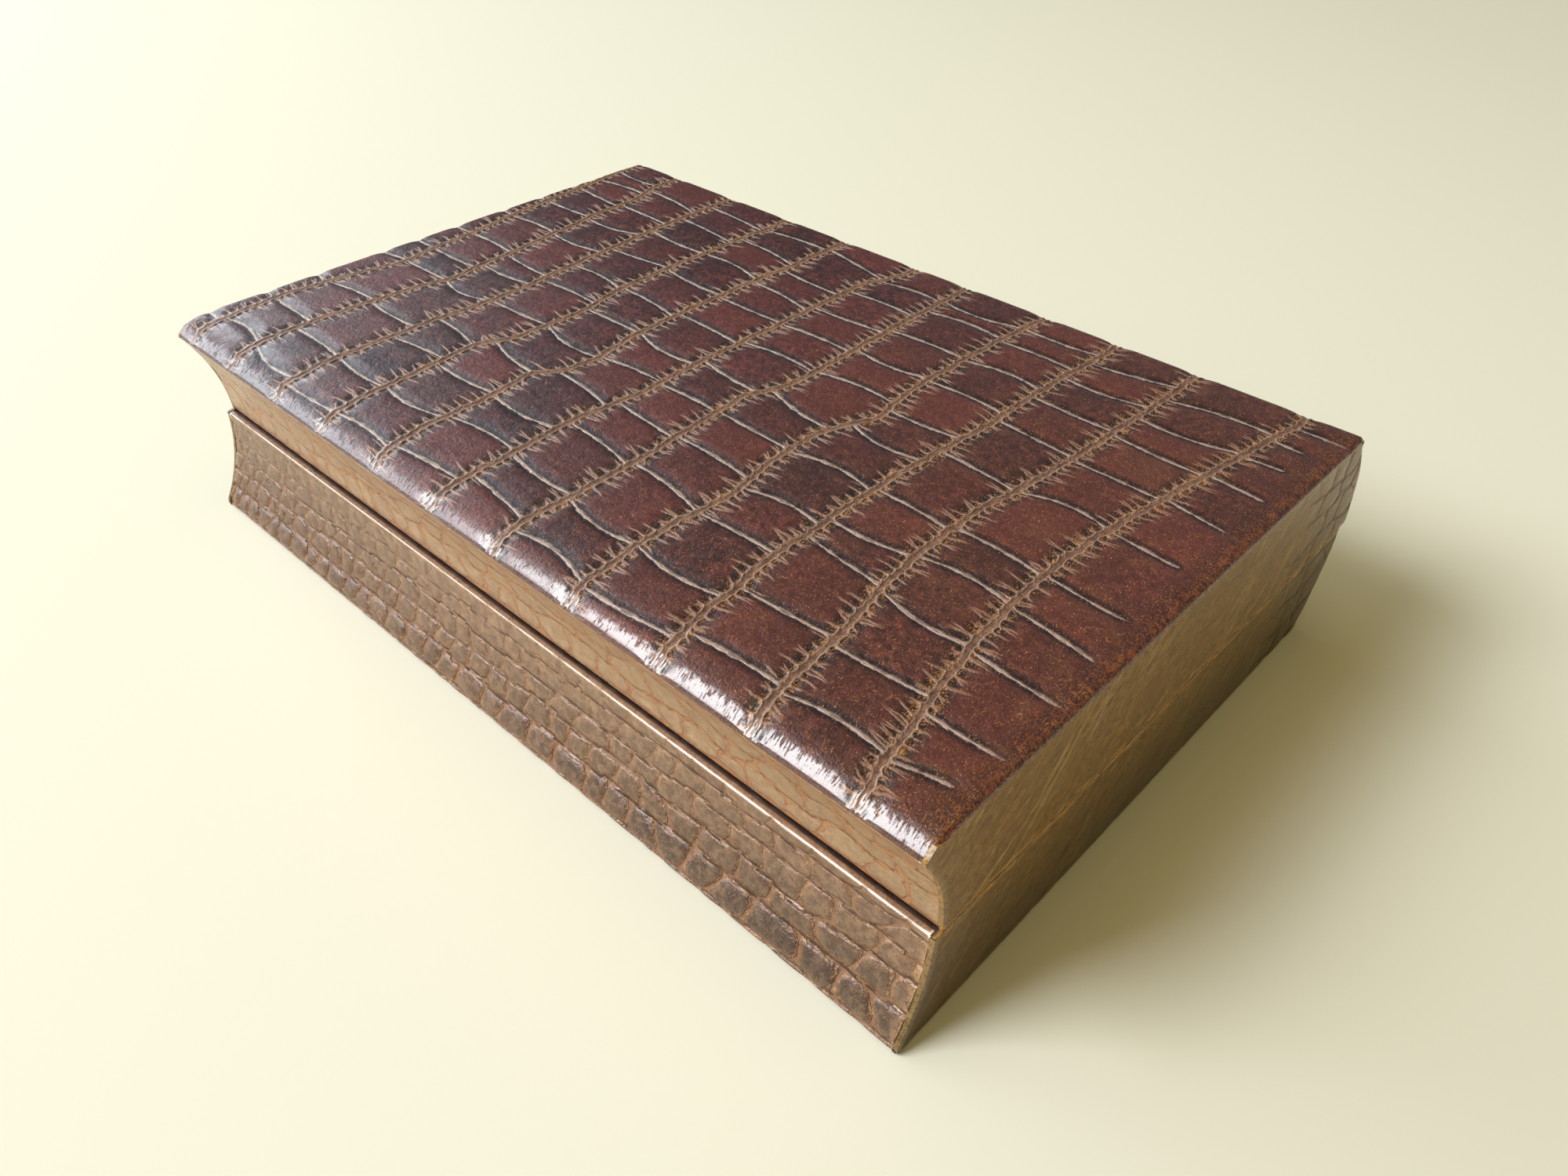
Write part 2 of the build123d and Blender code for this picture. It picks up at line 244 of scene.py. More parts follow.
# %% [markdown]
# ## The blank
# A real piece is cut flat and then laid over the box, and so is this one. The blank is a flat grid with a
# thickness. Its columns and rows are only counted at first. Laying it moves each vertex to its real
# place, so the grid's lines can follow the lines of the scales, which keeps narrow grooves crisp with few
# faces.

# %% Cut a blank and turn it into a mesh


def cut_blank(steps_along, steps_across, notches=()):
    """A flat closed blank. Notches are counted in steps: (low along, high along, low across, high across)."""
    blank = bmesh.new()
    bmesh.ops.create_grid(blank, x_segments=steps_along, y_segments=steps_across, size=0.5)
    for vertex in blank.verts:
        vertex.co.x = (vertex.co.x + 0.5) * steps_along
        vertex.co.y = (vertex.co.y + 0.5) * steps_across
    notched = []
    for face in blank.faces:
        middle = face.calc_center_median()
        if any(a < middle.x < b and c < middle.y < d for a, b, c, d in notches):
            notched.append(face)
    bmesh.ops.delete(blank, geom=notched, context="FACES")
    bmesh.ops.solidify(blank, geom=blank.faces[:], thickness=0.1)
    low = min(vertex.co.z for vertex in blank.verts)
    high = max(vertex.co.z for vertex in blank.verts)
    for vertex in blank.verts:
        vertex.co.z = round((vertex.co.z - high) / (low - high))
    return blank


def coarse_backed_blank(steps_along, steps_across, back_rows):
    """A blank whose underside has only a few rows, for a piece whose ends are flat."""
    blank = bmesh.new()
    outline = [blank.verts.new((0, row, 0)) for row in range(steps_across + 1)]
    outline += [blank.verts.new((0, row, 1)) for row in reversed(back_rows)]
    end = blank.faces.new(outline)
    swept = bmesh.ops.extrude_face_region(blank, geom=[end])["geom"]
    moved = [part for part in swept if isinstance(part, bmesh.types.BMVert)]
    bmesh.ops.translate(blank, verts=moved, vec=(steps_along, 0, 0))
    long_edges = [edge for edge in blank.edges if abs(edge.verts[0].co.x - edge.verts[1].co.x) > 0.5]
    bmesh.ops.subdivide_edges(blank, edges=long_edges, cuts=steps_along - 1, use_grid_fill=True)
    return blank


def finish_leather(name, blank, lay, body, nodes, sharp=40):
    """Lays the blank with lay(along, across, depth), which gives places in mm and the attributes."""
    bmesh.ops.recalc_face_normals(blank, faces=blank.faces[:])
    mesh = bpy.data.meshes.new(name)
    blank.to_mesh(mesh)
    blank.free()
    flat = np.zeros(len(mesh.vertices) * 3, np.float32)
    mesh.vertices.foreach_get("co", flat)
    flat = flat.reshape(-1, 3).astype(float)
    place, attributes = lay(flat[:, 0], flat[:, 1], flat[:, 2])
    mesh.vertices.foreach_set("co", (place * MM).astype(np.float32).ravel())
    for title, values in attributes.items():
        layer = mesh.attributes.new(title, "FLOAT_VECTOR", "POINT")
        layer.data.foreach_set("vector", np.stack(values, axis=1).astype(np.float32).ravel())
    shell = bmesh.new()
    shell.from_mesh(mesh)
    bmesh.ops.recalc_face_normals(shell, faces=shell.faces[:])
    shell.to_mesh(mesh)
    shell.free()
    mesh.polygons.foreach_set("use_smooth", np.ones(len(mesh.polygons), bool))
    mesh.set_sharp_from_angle(angle=math.radians(sharp))
    mesh.update()
    piece = bpy.data.objects.new(name, mesh)
    bpy.context.scene.collection.objects.link(piece)
    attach(piece, body)
    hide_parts(*nodes)
    mesh.calc_loop_triangles()
    low, high = place.min(axis=0), place.max(axis=0)
    print(name, "triangles:", len(mesh.loop_triangles), "box:", np.round(low, 2), np.round(high, 2))
    return piece


# %% [markdown]
# ## The top: rows of belly scales
# The lid's top has the largest scales. Eleven grooves run from front to back, about 21 mm apart, and
# swing to and fro a little. Creases cross each row every 12 to 16 mm. Both were read off the photograph,
# in millimetres from the middle of the lid, the grooves as (y, x) and the creases as their y at
# the row's left and right.

# %% Where the grooves and creases of the top run
BELLY_PITCH = 21
GROOVES = [
    [(72, -119), (60.5, -117.5), (42, -116.5), (27, -115), (10.5, -112.5), (-4.5, -111.5), (-14.5, -110),
     (-33, -113), (-49.5, -115), (-74.5, -113)],
    [(67, -100.5), (60.5, -98), (42, -97), (27, -95.5), (10.5, -93.5), (-1.5, -92.5), (-11.5, -91.5),
     (-26.5, -94), (-44.5, -95.5), (-61.5, -95.5), (-74.5, -94)],
    [(72, -76.5), (48.5, -76.5), (32, -75.5), (7, -74), (-11.5, -72.5), (-24.5, -74), (-41.5, -74.5),
     (-59.5, -74.5), (-75.5, -72.5)],
    [(73.5, -53), (48.5, -54), (15.5, -54), (0.5, -51), (-21.5, -51.5), (-29, -56), (-44.5, -55),
     (-59.5, -54), (-74.5, -52)],
    [(67, -30.5), (40.5, -31.5), (15.5, -32), (-1.5, -31.5), (-14.5, -29), (-24.5, -30.5), (-29.5, -35),
     (-44.5, -33), (-59.5, -33), (-74.5, -30.5)],
    [(72, -5), (62, -9), (32, -9.5), (-1.5, -10), (-18, -9), (-34.5, -11), (-51.5, -10), (-74.5, -9.5)],
    [(73.5, 12.5), (57, 12.5), (32, 13), (8.5, 13.5), (-1.5, 9), (-21.5, 10), (-34.5, 11.5), (-59.5, 11.5),
     (-74.5, 12)],
    [(72, 37), (48.5, 35), (25.5, 35), (12, 37.5), (-1.5, 32), (-18, 32), (-31.5, 35), (-46.5, 33.5),
     (-68, 34.5), (-76.5, 35.5)],
    [(73.5, 58.5), (48.5, 57), (23.5, 57), (2, 55), (-21.5, 54.5), (-38, 55), (-59.5, 57), (-75.5, 59.5)],
    [(72, 80), (48.5, 79), (18.5, 77.5), (-1.5, 74.5), (-18, 74.5), (-34.5, 76), (-51.5, 79.5), (-68, 81),
     (-75.5, 82.5)],
    [(75.5, 107), (52, 103.5), (27, 99.5), (10.5, 97), (-11.5, 95.5), (-29.5, 97), (-44.5, 99.5),
     (-59.5, 102.5), (-75.5, 105.5)],
]
CREASES = [
    [(60, 60), (52, 52), (40, 39), (25, 25), (9, 9), (-4, -4.5), (-18, -14), (-36.5, -37), (-51.5, -51.5),
     (-66, -67)],
    [(70, 70), (61, 63), (52.5, 51), (39, 40), (24.5, 25.5), (9, 8.5), (-4.5, -4), (-14.5, -14), (-36.5, -34),
     (-51, -51.5), (-65.5, -66.5)],
    [(66, 63), (52.5, 52), (39, 42), (25, 26.5), (7, 6), (-1.5, 0), (-14, -13.5), (-35, -35), (-56, -56.5),
     (-67, -69)],
    [(70, 68), (58, 56), (46, 45.5), (29.5, 32.5), (15.5, 14.5), (3.5, 4.5), (-13, -11.5), (-28.5, -31),
     (-42, -39.5), (-56.5, -57), (-71.5, -70.5)],
    [(69, 71), (59.5, 57), (45.5, 43.5), (31.5, 30.5), (15.5, 13.5), (1, 1.5), (-11.5, -13.5), (-25.5, -29),
     (-42, -41), (-56.5, -55), (-70.5, -70.5)],
    [(72, 67), (53, 52), (42, 39.5), (29.5, 30), (15.5, 14.5), (2, 0.5), (-13, -11), (-24.5, -27),
     (-41.5, -40.5), (-54, -52.5), (-69, -67)],
    [(65.5, 67), (55.5, 56), (42, 44), (29.5, 30.5), (16, 17), (3, 1), (-12, -11.5), (-24, -25.5),
     (-37, -39.5), (-53.5, -54.5), (-64, -66.5)],
    [(68, 70), (60.5, 61.5), (46, 47), (32.5, 33.5), (17.5, 19), (4.5, 0.5), (-11, -11.5), (-24.5, -25.5),
     (-38, -41), (-55.5, -56.5), (-70, -71)],
    [(70, 71), (60.5, 60.5), (46, 47), (32.5, 32.5), (16, 17.5), (6, 5), (-12.5, -11.5), (-29, -27.5),
     (-41, -40), (-56.5, -56), (-71.5, -69.5)],
    [(66, 70.5), (56, 58), (43.5, 43), (29.5, 28), (10.5, 9), (-10, -11), (-24.5, -22.5), (-31.5, -33.5),
     (-52, -50.5), (-67, -65.5)],
    [(63, 66), (52, 54.5), (42, 41), (27, 27), (9, 10.5), (-9.5, -10.5), (-22, -21.5), (-34.5, -35.5),
     (-52, -50.5), (-67, -65.5)],
    [(72, 69.5), (64, 62), (53.5, 52), (42, 39), (28, 24.5), (10.5, 9), (-10, -10), (-22, -26.5),
     (-36.5, -37), (-54, -51.5), (-66.5, -66.5)],
]
chance = np.random.default_rng(11)
belly = ScaleRows(
    [smooth_line(groove, 5, 0.22, 100 + k) for k, groove in enumerate(GROOVES)],
    [[(a, b, chance.normal(0, 1.2)) for a, b in sorted(row)] for row in CREASES],
    pitch=BELLY_PITCH,
    length=22.0,
    margin=9.0,
)
print("grooves:", len(belly.lines), "creases:", sum(len(row) for row in belly.creases))

# %% [markdown]
# Short pale wrinkles stand along both sides of each groove like the teeth of a comb, with small dark
# pockets between them. They are too fine to place by eye, so a seeded generator spaces them 1.9 to 3.4 mm
# apart.

# %% Space the teeth along both sides of each groove
TEETH_PER_SIDE, TEETH_START = 76, -96
LAST_GROOVE = 12


def space_teeth(seed):
    return TEETH_START + np.cumsum(np.random.default_rng(seed).uniform(1.9, 3.4, TEETH_PER_SIDE))


TEETH = [[space_teeth(700 + 2 * k + hand) for hand in (0, 1)] for k in range(LAST_GROOVE + 1)]


def tooth_count(row, along):
    """A running number along a side of the nearest groove, whole at each tooth, and the side's number."""
    groove = np.clip(np.rint(row).astype(int), 0, LAST_GROOVE)
    hand = (row > groove).astype(int)
    count = np.zeros(len(row))
    for k in range(LAST_GROOVE + 1):
        for side in (0, 1):
            mine = (groove == k) & (hand == side)
            count[mine] = np.interp(along[mine], TEETH[k][side], np.arange(TEETH_PER_SIDE))
    return count, 2 * groove + hand


print("mean space between teeth in mm:", round(float(np.mean(np.diff(TEETH[5][0]))), 2))

# %% [markdown]
# The top leather goes up from the front skirt, over the padded front edge, across the lid and down at the
# back. Its columns follow the grooves, close together beside each groove and further apart in the middle
# of a row. The first and the last row reach the ends of the box, and have columns of their own.

# %% Make the top leather
top_line = LaidLine([(-76.2, BAND_TOP, 0.4), (-76.2, 51.5, 0.9), (-73.1, 54.15, 2.8),
                     (-69.5, 54.95, 4.5), (-64, 55.05, 5.0), (79.8, HEIGHT, 5.0), (79.8, 52, 0.6)])
TOP_MIDDLE = top_line.nearest(0, HEIGHT)
ROLL_LENGTH = 6
ROLL_Y, ROLL_Z = top_line.point[:int(ROLL_LENGTH / LINE_STEP)].T
BESIDE_GROOVE = [0, 0.25, 0.5, 0.75, 1.0, 1.3, 1.65, 2.05, 2.5, 3.1, 3.9, 5.0, 6.4, 7.8, 9.2]
FULL_ROW = [b / BELLY_PITCH for b in BESIDE_GROOVE] + [1 - b / BELLY_PITCH for b in reversed(BESIDE_GROOVE)]
FIRST_ROW = [0, 0.03, 0.07, 0.13, 0.22, 0.34, 0.48, 0.6, 0.7, 0.78, 0.86, 0.93]
LAST_ROW = [0, 0.02, 0.04, 0.06, 0.085, 0.12, 0.17, 0.23, 0.3, 0.38, 0.46, 0.54, 0.62, 0.7, 0.78, 0.85, 0.9,
            0.94, 0.965, 0.98, 0.99, 1.0]
LAST = len(GROOVES)
top_columns = FIRST_ROW + [k + share for k in range(1, LAST) for share in FULL_ROW[:-1]]
top_columns = np.array(top_columns + [LAST + share for share in LAST_ROW])
top_rows = np.linspace(0, top_line.length, 250)
top_back_rows = sorted({int(round(r)) for r in np.concatenate([
    np.linspace(0, 16, 12), np.linspace(16, 233, 8), np.linspace(233, 249, 12)])})
print("columns:", len(top_columns), "rows:", len(top_rows), "rows of the underside:", len(top_back_rows))


def belly_relief(to_groove, to_crease, count, shown):
    """Height of the skin over its middle surface in mm: grooves, pockets, creases and crowned scales."""
    between = 2 * (count % 1) - 1
    from_rail = to_groove - 0.6 - 0.4 * between**2
    open_skin = ease(from_rail, 0.0, 0.8)
    groove = -0.18 * (1 - ease(from_rail, -0.5, 0.1)) + 0.06 * bump(to_groove, 0.25)
    rail = 0.08 * bump(from_rail - 0.15, 0.3)
    pocket = -0.16 * bump(from_rail - 0.9, 0.6) * (1 - between**4) * ease(to_crease, 0.6, 1.6)
    crease = (-0.34 * bump(to_crease, 1.0) + 0.24 * bump(to_crease, 0.5)) * open_skin * shown
    crown = 0.27 * ease(np.minimum(to_groove - 0.9, 1.2 * to_crease + 6 * (1 - shown)), 0, 4.5)
    return groove + rail + pocket + crease + crown - 0.24


CREASE_ENDS = 112.0 + np.random.default_rng(5).uniform(0, 6, 17)


def lay_top(column, row_step, depth):
    """Places of the top leather. The creases of the last row fade out before they reach the right end."""
    place = np.interp(row_step, np.arange(len(top_rows)), top_rows)
    along = place - TOP_MIDDLE
    station = np.interp(column, np.arange(len(top_columns)), top_columns)
    levels = belly.levels(along)
    levels[0], levels[-1] = -HALF_LENGTH, HALF_LENGTH
    levels[1] = np.maximum(levels[1], -HALF_LENGTH + 1.5)
    index = np.clip(np.floor(station).astype(int), 0, LAST)
    low = np.take_along_axis(levels, index[None], 0)[0]
    high = np.take_along_axis(levels, index[None] + 1, 0)[0]
    x = low + (high - low) * (station - index)
    row, to_groove = belly.row(along, x)
    scale, length = belly.scale(along, row)
    part = scale % 1
    count, side = tooth_count(row, along)
    point, out = top_line.at(place)
    covered = COVERED + LEATHER * ease(point[:, 1], END_TOP, END_TOP + 0.6)
    x = np.clip(x, -covered, covered)
    from_end = HALF_LENGTH - np.abs(x)
    reach = CREASE_ENDS[np.rint(scale).astype(int) % len(CREASE_ENDS)]
    shown = 1 - ease(x, reach, reach + 6.0) * (row > LAST)
    lift = belly_relief(to_groove, np.minimum(part, 1 - part) * length, count, shown)
    lift = lift - 0.9 * np.maximum(0, 1 - from_end / 1.1) ** 2
    skirt = np.minimum(place, top_line.length - place)
    lift = lift * ease(skirt, 0, 2.5) - 0.15 * bump(skirt, 0.6)
    lift = np.where(depth > 0.5, -TOP_LEATHER, lift)
    y, z = (point + out * lift[:, None]).T
    corner = np.hypot(from_end, skirt - 2.5) + 6 * ((x < 0) == (place < TOP_MIDDLE))
    wear = np.maximum(0.45 * bump(from_end, 0.6) + 0.55 * (x > 0) * bump(from_end, 2.8), bump(corner, 2.6))
    return np.stack([x, y, z], axis=1), {
        "scale_grid": (row, scale, length), "teeth": (count, side, to_groove), "marks": (lift, wear, shown)}


blank = coarse_backed_blank(len(top_columns) - 1, len(top_rows) - 1, top_back_rows)
top_leather = finish_leather("lid_top_cover", blank, lay_top, "lid", ["lid_top_leather"])

# %% [markdown]
# ## The sides: rows of flank scales
# The long sides carry smaller, rounder scales in rows along the box. Nobody needs to place each of them
# by hand: a seeded generator draws row lines that sway and dividers at uneven distances.

# %% Draw rows of flank scales


def to_right(x):
    """0 at the box's left end and 1 at its right end."""
    return (x + HALF_LENGTH) / (2 * HALF_LENGTH)


def flank_rows(levels, lengths, sway, seed, grow=1.0, fan=0.0):
    """Rows along x between the given levels. Towards +x scales grow longer, and rows fan out."""
    chance = np.random.default_rng(seed)
    knots = np.arange(-126, 127, 7.0)
    lines = []
    for k, level in enumerate(levels):
        loose = sway if 0 < k < len(levels) - 1 else 0.15 * sway
        knotted = [(x, level * (1 + fan * to_right(x)) + chance.normal(0, loose)) for x in knots]
        lines.append(smooth_line(knotted, 4, 0.12, seed + 50 + k))
    creases = []
    for k in range(len(levels) + 1):
        length = lengths[min(max(k - 1, 0), len(lengths) - 1)]
        x, row = -128 - chance.uniform(0, length), []
        while x < 128:
            tilt = chance.normal(0, 0.9)
            row.append((x - tilt, x + tilt, chance.normal(0, 0.5)))
            x += length * (1 + (grow - 1) * to_right(x)) * chance.uniform(0.72, 1.3)
        creases.append(row)
    pitch = float(np.mean(np.diff(levels)))
    return ScaleRows(lines, creases, pitch, float(np.mean(lengths)) * (1 + grow) / 2)


def flank_relief(to_line, scale, length):
    """Height of a flank's skin in mm: rounded scales with narrow valleys between them."""
    part = scale % 1
    to_crease = np.minimum(part, 1 - part) * length
    to_edge = -np.log(np.exp(-0.9 * to_line) + np.exp(-0.9 * to_crease) + 1e-9) / 0.9
    return 0.66 * ease(to_edge, -0.7, 1.0) + 0.15 * ease(to_edge, 0, 3) - 0.46


def side_stations(line, face_low, face_high, rows, per_row=10):
    """Places across a band of leather: close together on its face, further apart on the parts turned in."""
    low, high = line.nearest(*face_low), line.nearest(*face_high)
    turned_low = np.linspace(0, low - 2, max(2, int(low / 3)))
    around_low = np.linspace(low - 1.4, low + 1.2, 7)
    face = np.linspace(low + 1.8, high - 1.8, per_row * rows)
    around_high = np.linspace(high - 1.2, high + 1.4, 7)
    turned_high = np.linspace(high + 2, line.length, max(2, int((line.length - high) / 2)))
    return low, high, np.concatenate([turned_low, around_low, face, around_high, turned_high])


HINGE_ENDS = [-90.1, -59.9, 59.9, 90.1]
COLUMNS = 340


def snap(stations, place):
    """Moves the nearest station to a place, and gives its number."""
    nearest = int(np.argmin(np.abs(stations - place)))
    stations[nearest] = place
    return nearest


def make_long_side(name, line, face_low, face_high, rows, strength, body, nodes, notch=()):
    """A leather on a long side. strength(share up the face, x) says how deep its scales are.

    A notch is given by two points of the section. The leather is cut out between them at both hinges."""
    low, high, across_stations = side_stations(line, face_low, face_high, 4)
    along_stations = np.linspace(-COVERED, COVERED, COLUMNS)
    columns_cut = [snap(along_stations, x) for x in HINGE_ENDS] if notch else []
    rows_cut = [snap(across_stations, place) for place in sorted(line.nearest(*point) for point in notch)]
    notches = [(a, b, *rows_cut) for a, b in zip(columns_cut[::2], columns_cut[1::2])]

    def lay(column, station, depth):
        x = np.interp(column, np.arange(len(along_stations)), along_stations)
        place = np.interp(station, np.arange(len(across_stations)), across_stations)
        point, out = line.at(place)
        up_face = (place - low) / (high - low)
        row, to_line = rows.row(x, place - low)
        scale, length = rows.scale(x, row)
        inside = ease(up_face, 0.0, 0.03) * ease(1 - up_face, 0.0, 0.05)
        strong = strength(up_face, x)
        lift = flank_relief(to_line, scale, length) * (strong * inside) - 0.05 * inside
        thick = PARED + 0.4 * ease(up_face, 0.03, 0.12) * ease(1 - up_face, 0.03, 0.12)
        offset = np.where(depth > 0.5, -thick, lift)
        y, z = (point + out * offset[:, None]).T
        rim = np.abs(place - (low if body == "lid" else high))
        wear = np.maximum(bump(rim, 0.4), 0.8 * bump(COVERED - np.abs(x), 1.2))
        return np.stack([x, y, z], axis=1), {
            "scale_grid": (row, scale, length), "line": (to_line, up_face, 0 * x),
            "marks": (offset, wear, np.where(inside > 0, strong, 0))}

    blank = cut_blank(len(along_stations) - 1, len(across_stations) - 1, notches)
    return finish_leather(name, blank, lay, body, nodes)


# %% [markdown]
# ## The four long sides
# Each one is turned in over its rim and under its board, as a case maker pares and turns leather. At the
# back the turned rim is notched where the hinge leaves are let in.

# %% Make the leather of the long sides
RIM_LOW, RIM_HIGH = 26.8, 27.2
LEAF_INNER_Y = 76.7

front_line = LaidLine([(-64.7, 0.3, 0.3), (-78, 0.3, 1.8), *base_front.corners(1.8, 25.9),
                       (*base_front.at(RIM_LOW), 0.9), (-63, RIM_LOW, 0.3)])
front_rows = flank_rows(
    [1.0, 6.4, 11.2, 15.8, 20.2, 25.0], [4.9, 4.6, 4.5, 4.5, 4.6], 0.5, 21, grow=2.3, fan=0.25)
make_long_side(
    "base_front_cover", front_line, (-78, 0.3), base_front.at(RIM_LOW), front_rows,
    lambda up, x: np.clip(1.1 - (0.95 - 0.4 * ease(x, -20, 90)) * up, 0.2, 1.0),
    "base", ["base_front_leather"],
)

back_line = LaidLine([(64.7, 0.3, 0.3), (78, 0.3, 1.8), *base_back.corners(2.3, 25.9),
                      (*base_back.at(RIM_LOW), 1.5), (70, RIM_LOW, 0.3)], hand=-1)
back_rows = flank_rows([1.0, 7.5, 13.4, 18.8, 24.0, 29.5], [8.2, 7.8, 7.4, 7.2, 7.0], 0.6, 33)
make_long_side(
    "base_back_cover", back_line, (78, 0.3), base_back.at(RIM_LOW), back_rows,
    lambda up, x: np.clip(1.1 - 0.6 * up, 0.2, 1.0), "base", ["base_back_leather"],
    notch=((LEAF_INNER_Y, RIM_LOW), base_back.at(25.8)),
)

lid_front_line = LaidLine(
    [(-63.45, RIM_HIGH, 0.3), (*lid_front.at(RIM_HIGH), 1.3), *lid_front.corners(28.1, BAND_TOP)])
lid_front_rows = flank_rows([0.5, 7.4, 13.6, 19.6, 25.4], [6.5, 7, 6.5], 1.5, 45, grow=1.5)
make_long_side(
    "lid_front_cover", lid_front_line, lid_front.at(RIM_HIGH), (-76.2, BAND_TOP), lid_front_rows,
    lambda up, x: 0.16 + 0 * up, "lid", ["lid_front_leather"],
)

lid_back_line = LaidLine(
    [(70.45, RIM_HIGH, 0.3), (*lid_back.at(RIM_HIGH), 1.3), *lid_back.corners(28.1, 52)], hand=-1)
lid_back_rows = flank_rows([0.5, 6.5, 12.6, 18.8, 25.5], [10, 10.5, 11, 11], 0.7, 57)
make_long_side(
    "lid_back_cover", lid_back_line, lid_back.at(RIM_HIGH), (79.9, 52), lid_back_rows,
    lambda up, x: 0.75 + 0 * up, "lid", ["lid_back_leather"],
    notch=((LEAF_INNER_Y, RIM_HIGH), lid_back.at(28.2)),
)

# %% [markdown]
# ## The four ends
# An end is one flat panel with the box's whole section, so its grid spans from the hollow front to the
# rounded back at every height. Its raw edges show at the corners as thin pale lines. The skin is nearly
# smooth there, with long fine wrinkles.

# %% Make the leather of the ends
END_STEPS = 224


def make_end(name, side, corners, front, back, turned, rows, body, nodes, seed):
    """An end panel on side -1 or 1. Its corners run up its section as (x, z, softening).

    The turned flaps are given by their height and their reach in y."""
    line = LaidLine(corners, hand=-1)
    chance = np.random.default_rng(seed)
    wrinkles = [
        (chance.uniform(-75, 85), chance.uniform(0, 28), chance.normal(0.7, 0.35), chance.uniform(14, 45),
         chance.uniform(0.03, 0.1))
        for _ in range(40)
    ]
    outside = np.flatnonzero(line.point[:, 0] > COVERED - 0.02)
    x_turn, x_back = line.place[outside[[0, -1]]]
    marks_up = list(np.arange(0, line.length, 0.75)) + [line.nearest(x, z) for x, z, _ in corners]
    stations = np.array(sorted(marks_up + [x_turn, x_turn - 0.15, x_back, x_back + 0.15]))
    keep = np.concatenate([[True], np.diff(stations) > 0.12])
    keep[-1] = True
    stations = stations[keep]
    z_low = corners[0][1]

    def lay(column, station, depth):
        place = np.interp(station, np.arange(len(stations)), stations)
        point, out = line.at(place)
        z = point[:, 1]
        first, last = front.out(z), back.out(z)
        first = np.where(z > BAND_TOP, np.maximum(first, np.interp(z, ROLL_Z, ROLL_Y)), first)
        for (low, high), (y_low, y_high) in turned:
            flap = (point[:, 0] < COVERED - 0.03) & (z >= low) & (z <= high)
            first = np.where(flap, y_low, first)
            last = np.where(flap, y_high, last)
        y = first + (last - first) * (column / END_STEPS)
        row, to_line = rows.row(y, place - stations[0])
        scale, length = rows.scale(y, row)
        face = ease(point[:, 0], COVERED, HALF_LENGTH - 0.1)
        from_edge = np.minimum(y - first, last - y)
        at_back = ease(y, 52, 70)
        lift = (0.08 + 0.3 * at_back) * flank_relief(to_line, scale, length)
        for y0, z0, slope, reach, deep in wrinkles:
            right, up = y - y0, z - z_low - z0
            run = right * math.cos(slope) + up * math.sin(slope)
            off = -right * math.sin(slope) + up * math.cos(slope) + 0.6 * np.sin(run / 4 + y0)
            lift = lift - deep * bump(off, 0.7) * ease(reach / 2 - np.abs(run), 0, 6)
        lift = (lift - 0.04) * face * ease(from_edge, 0, 1.5)
        lift = lift - 0.25 * face * np.maximum(0, 1 - from_edge / 0.6) ** 2
        thick = np.where(face > 0.5, LEATHER, PARED)
        offset = np.where(depth > 0.5, -thick, lift)
        x = side * (point[:, 0] + out[:, 0] * offset)
        z = z + out[:, 1] * offset
        from_rim = np.minimum(np.abs(z - RIM_LOW), np.abs(z - RIM_HIGH))
        wear = np.maximum(bump(from_edge, 1.0), bump(from_rim, 0.8))
        wear = np.maximum(wear, 0.9 * bump(END_TOP - z, 0.7))
        return np.stack([x, y, z], axis=1), {
            "scale_grid": (row, scale, length), "line": (to_line, z / HEIGHT, 1 + 0 * x),
            "marks": (offset, wear * (0.3 + 0.7 * face), (0.03 + 0.6 * at_back) * face)}

    blank = cut_blank(END_STEPS, len(stations) - 1)
    return finish_leather(name, blank, lay, body, nodes)


base_end_rows = flank_rows([1.0, 8.5, 15.5, 22.5, 29.5, 37], [9, 9, 10], 1.0, 71)
lid_end_rows = flank_rows([5.0, 12.5, 20, 27, 34], [10, 9], 1.0, 83)
base_end_corners = [(106.7, 0.3, 0.3), (120, 0.3, 1.6), (120, 1.6, 0.6), (120, 13, 0.6), (120, 25.4, 0.6),
                    (120, 26.97, 0.4), (119.2, 26.97, 0.5), (117.8, 26.8, 0.5), (112.7, 26.8, 0.3)]
lid_end_corners = [(113.15, 27.2, 0.3), (117.8, 27.2, 0.5), (119.2, 27.03, 0.5), (120, 27.03, 0.4),
                   (120, 28.8, 0.6), (120, 40, 0.6), (120, 53.5, 0.3)]
base_flaps = [((-1, 1.2), (-64.7, 64.7)), ((25, 27), (-63, 70))]
lid_flaps = [((27, 29), (-63.45, 70.45))]
for side, word, seed in ((-1, "left", 91), (1, "right", 92)):
    make_end(f"base_{word}_cover", side, base_end_corners, base_front, base_back, base_flaps,
             base_end_rows, "base", [f"base_{word}_leather"], seed)
    make_end(f"lid_{word}_cover", side, lid_end_corners, lid_front, lid_back, lid_flaps,
             lid_end_rows, "lid", [f"lid_{word}_leather"], seed + 10)

# %% [markdown]
# ## Nodes for finishes
# A finish is a tree of shader nodes. This small helper adds nodes and joins them, so that each finish
# below reads like a recipe. Colours are written as a painter sees them and turned into the linear values
# a shader wants.

# %% A helper for shader nodes
RELIEF_DISTANCE = 0.001


def paint(code):
    """A colour written as six hex digits, as linear red, green, blue and full alpha."""
    parts = [int(code[k:k + 2], 16) / 255 for k in (0, 2, 4)]
    return (*[c / 12.92 if c <= 0.04045 else ((c + 0.055) / 1.055) ** 2.4 for c in parts], 1.0)


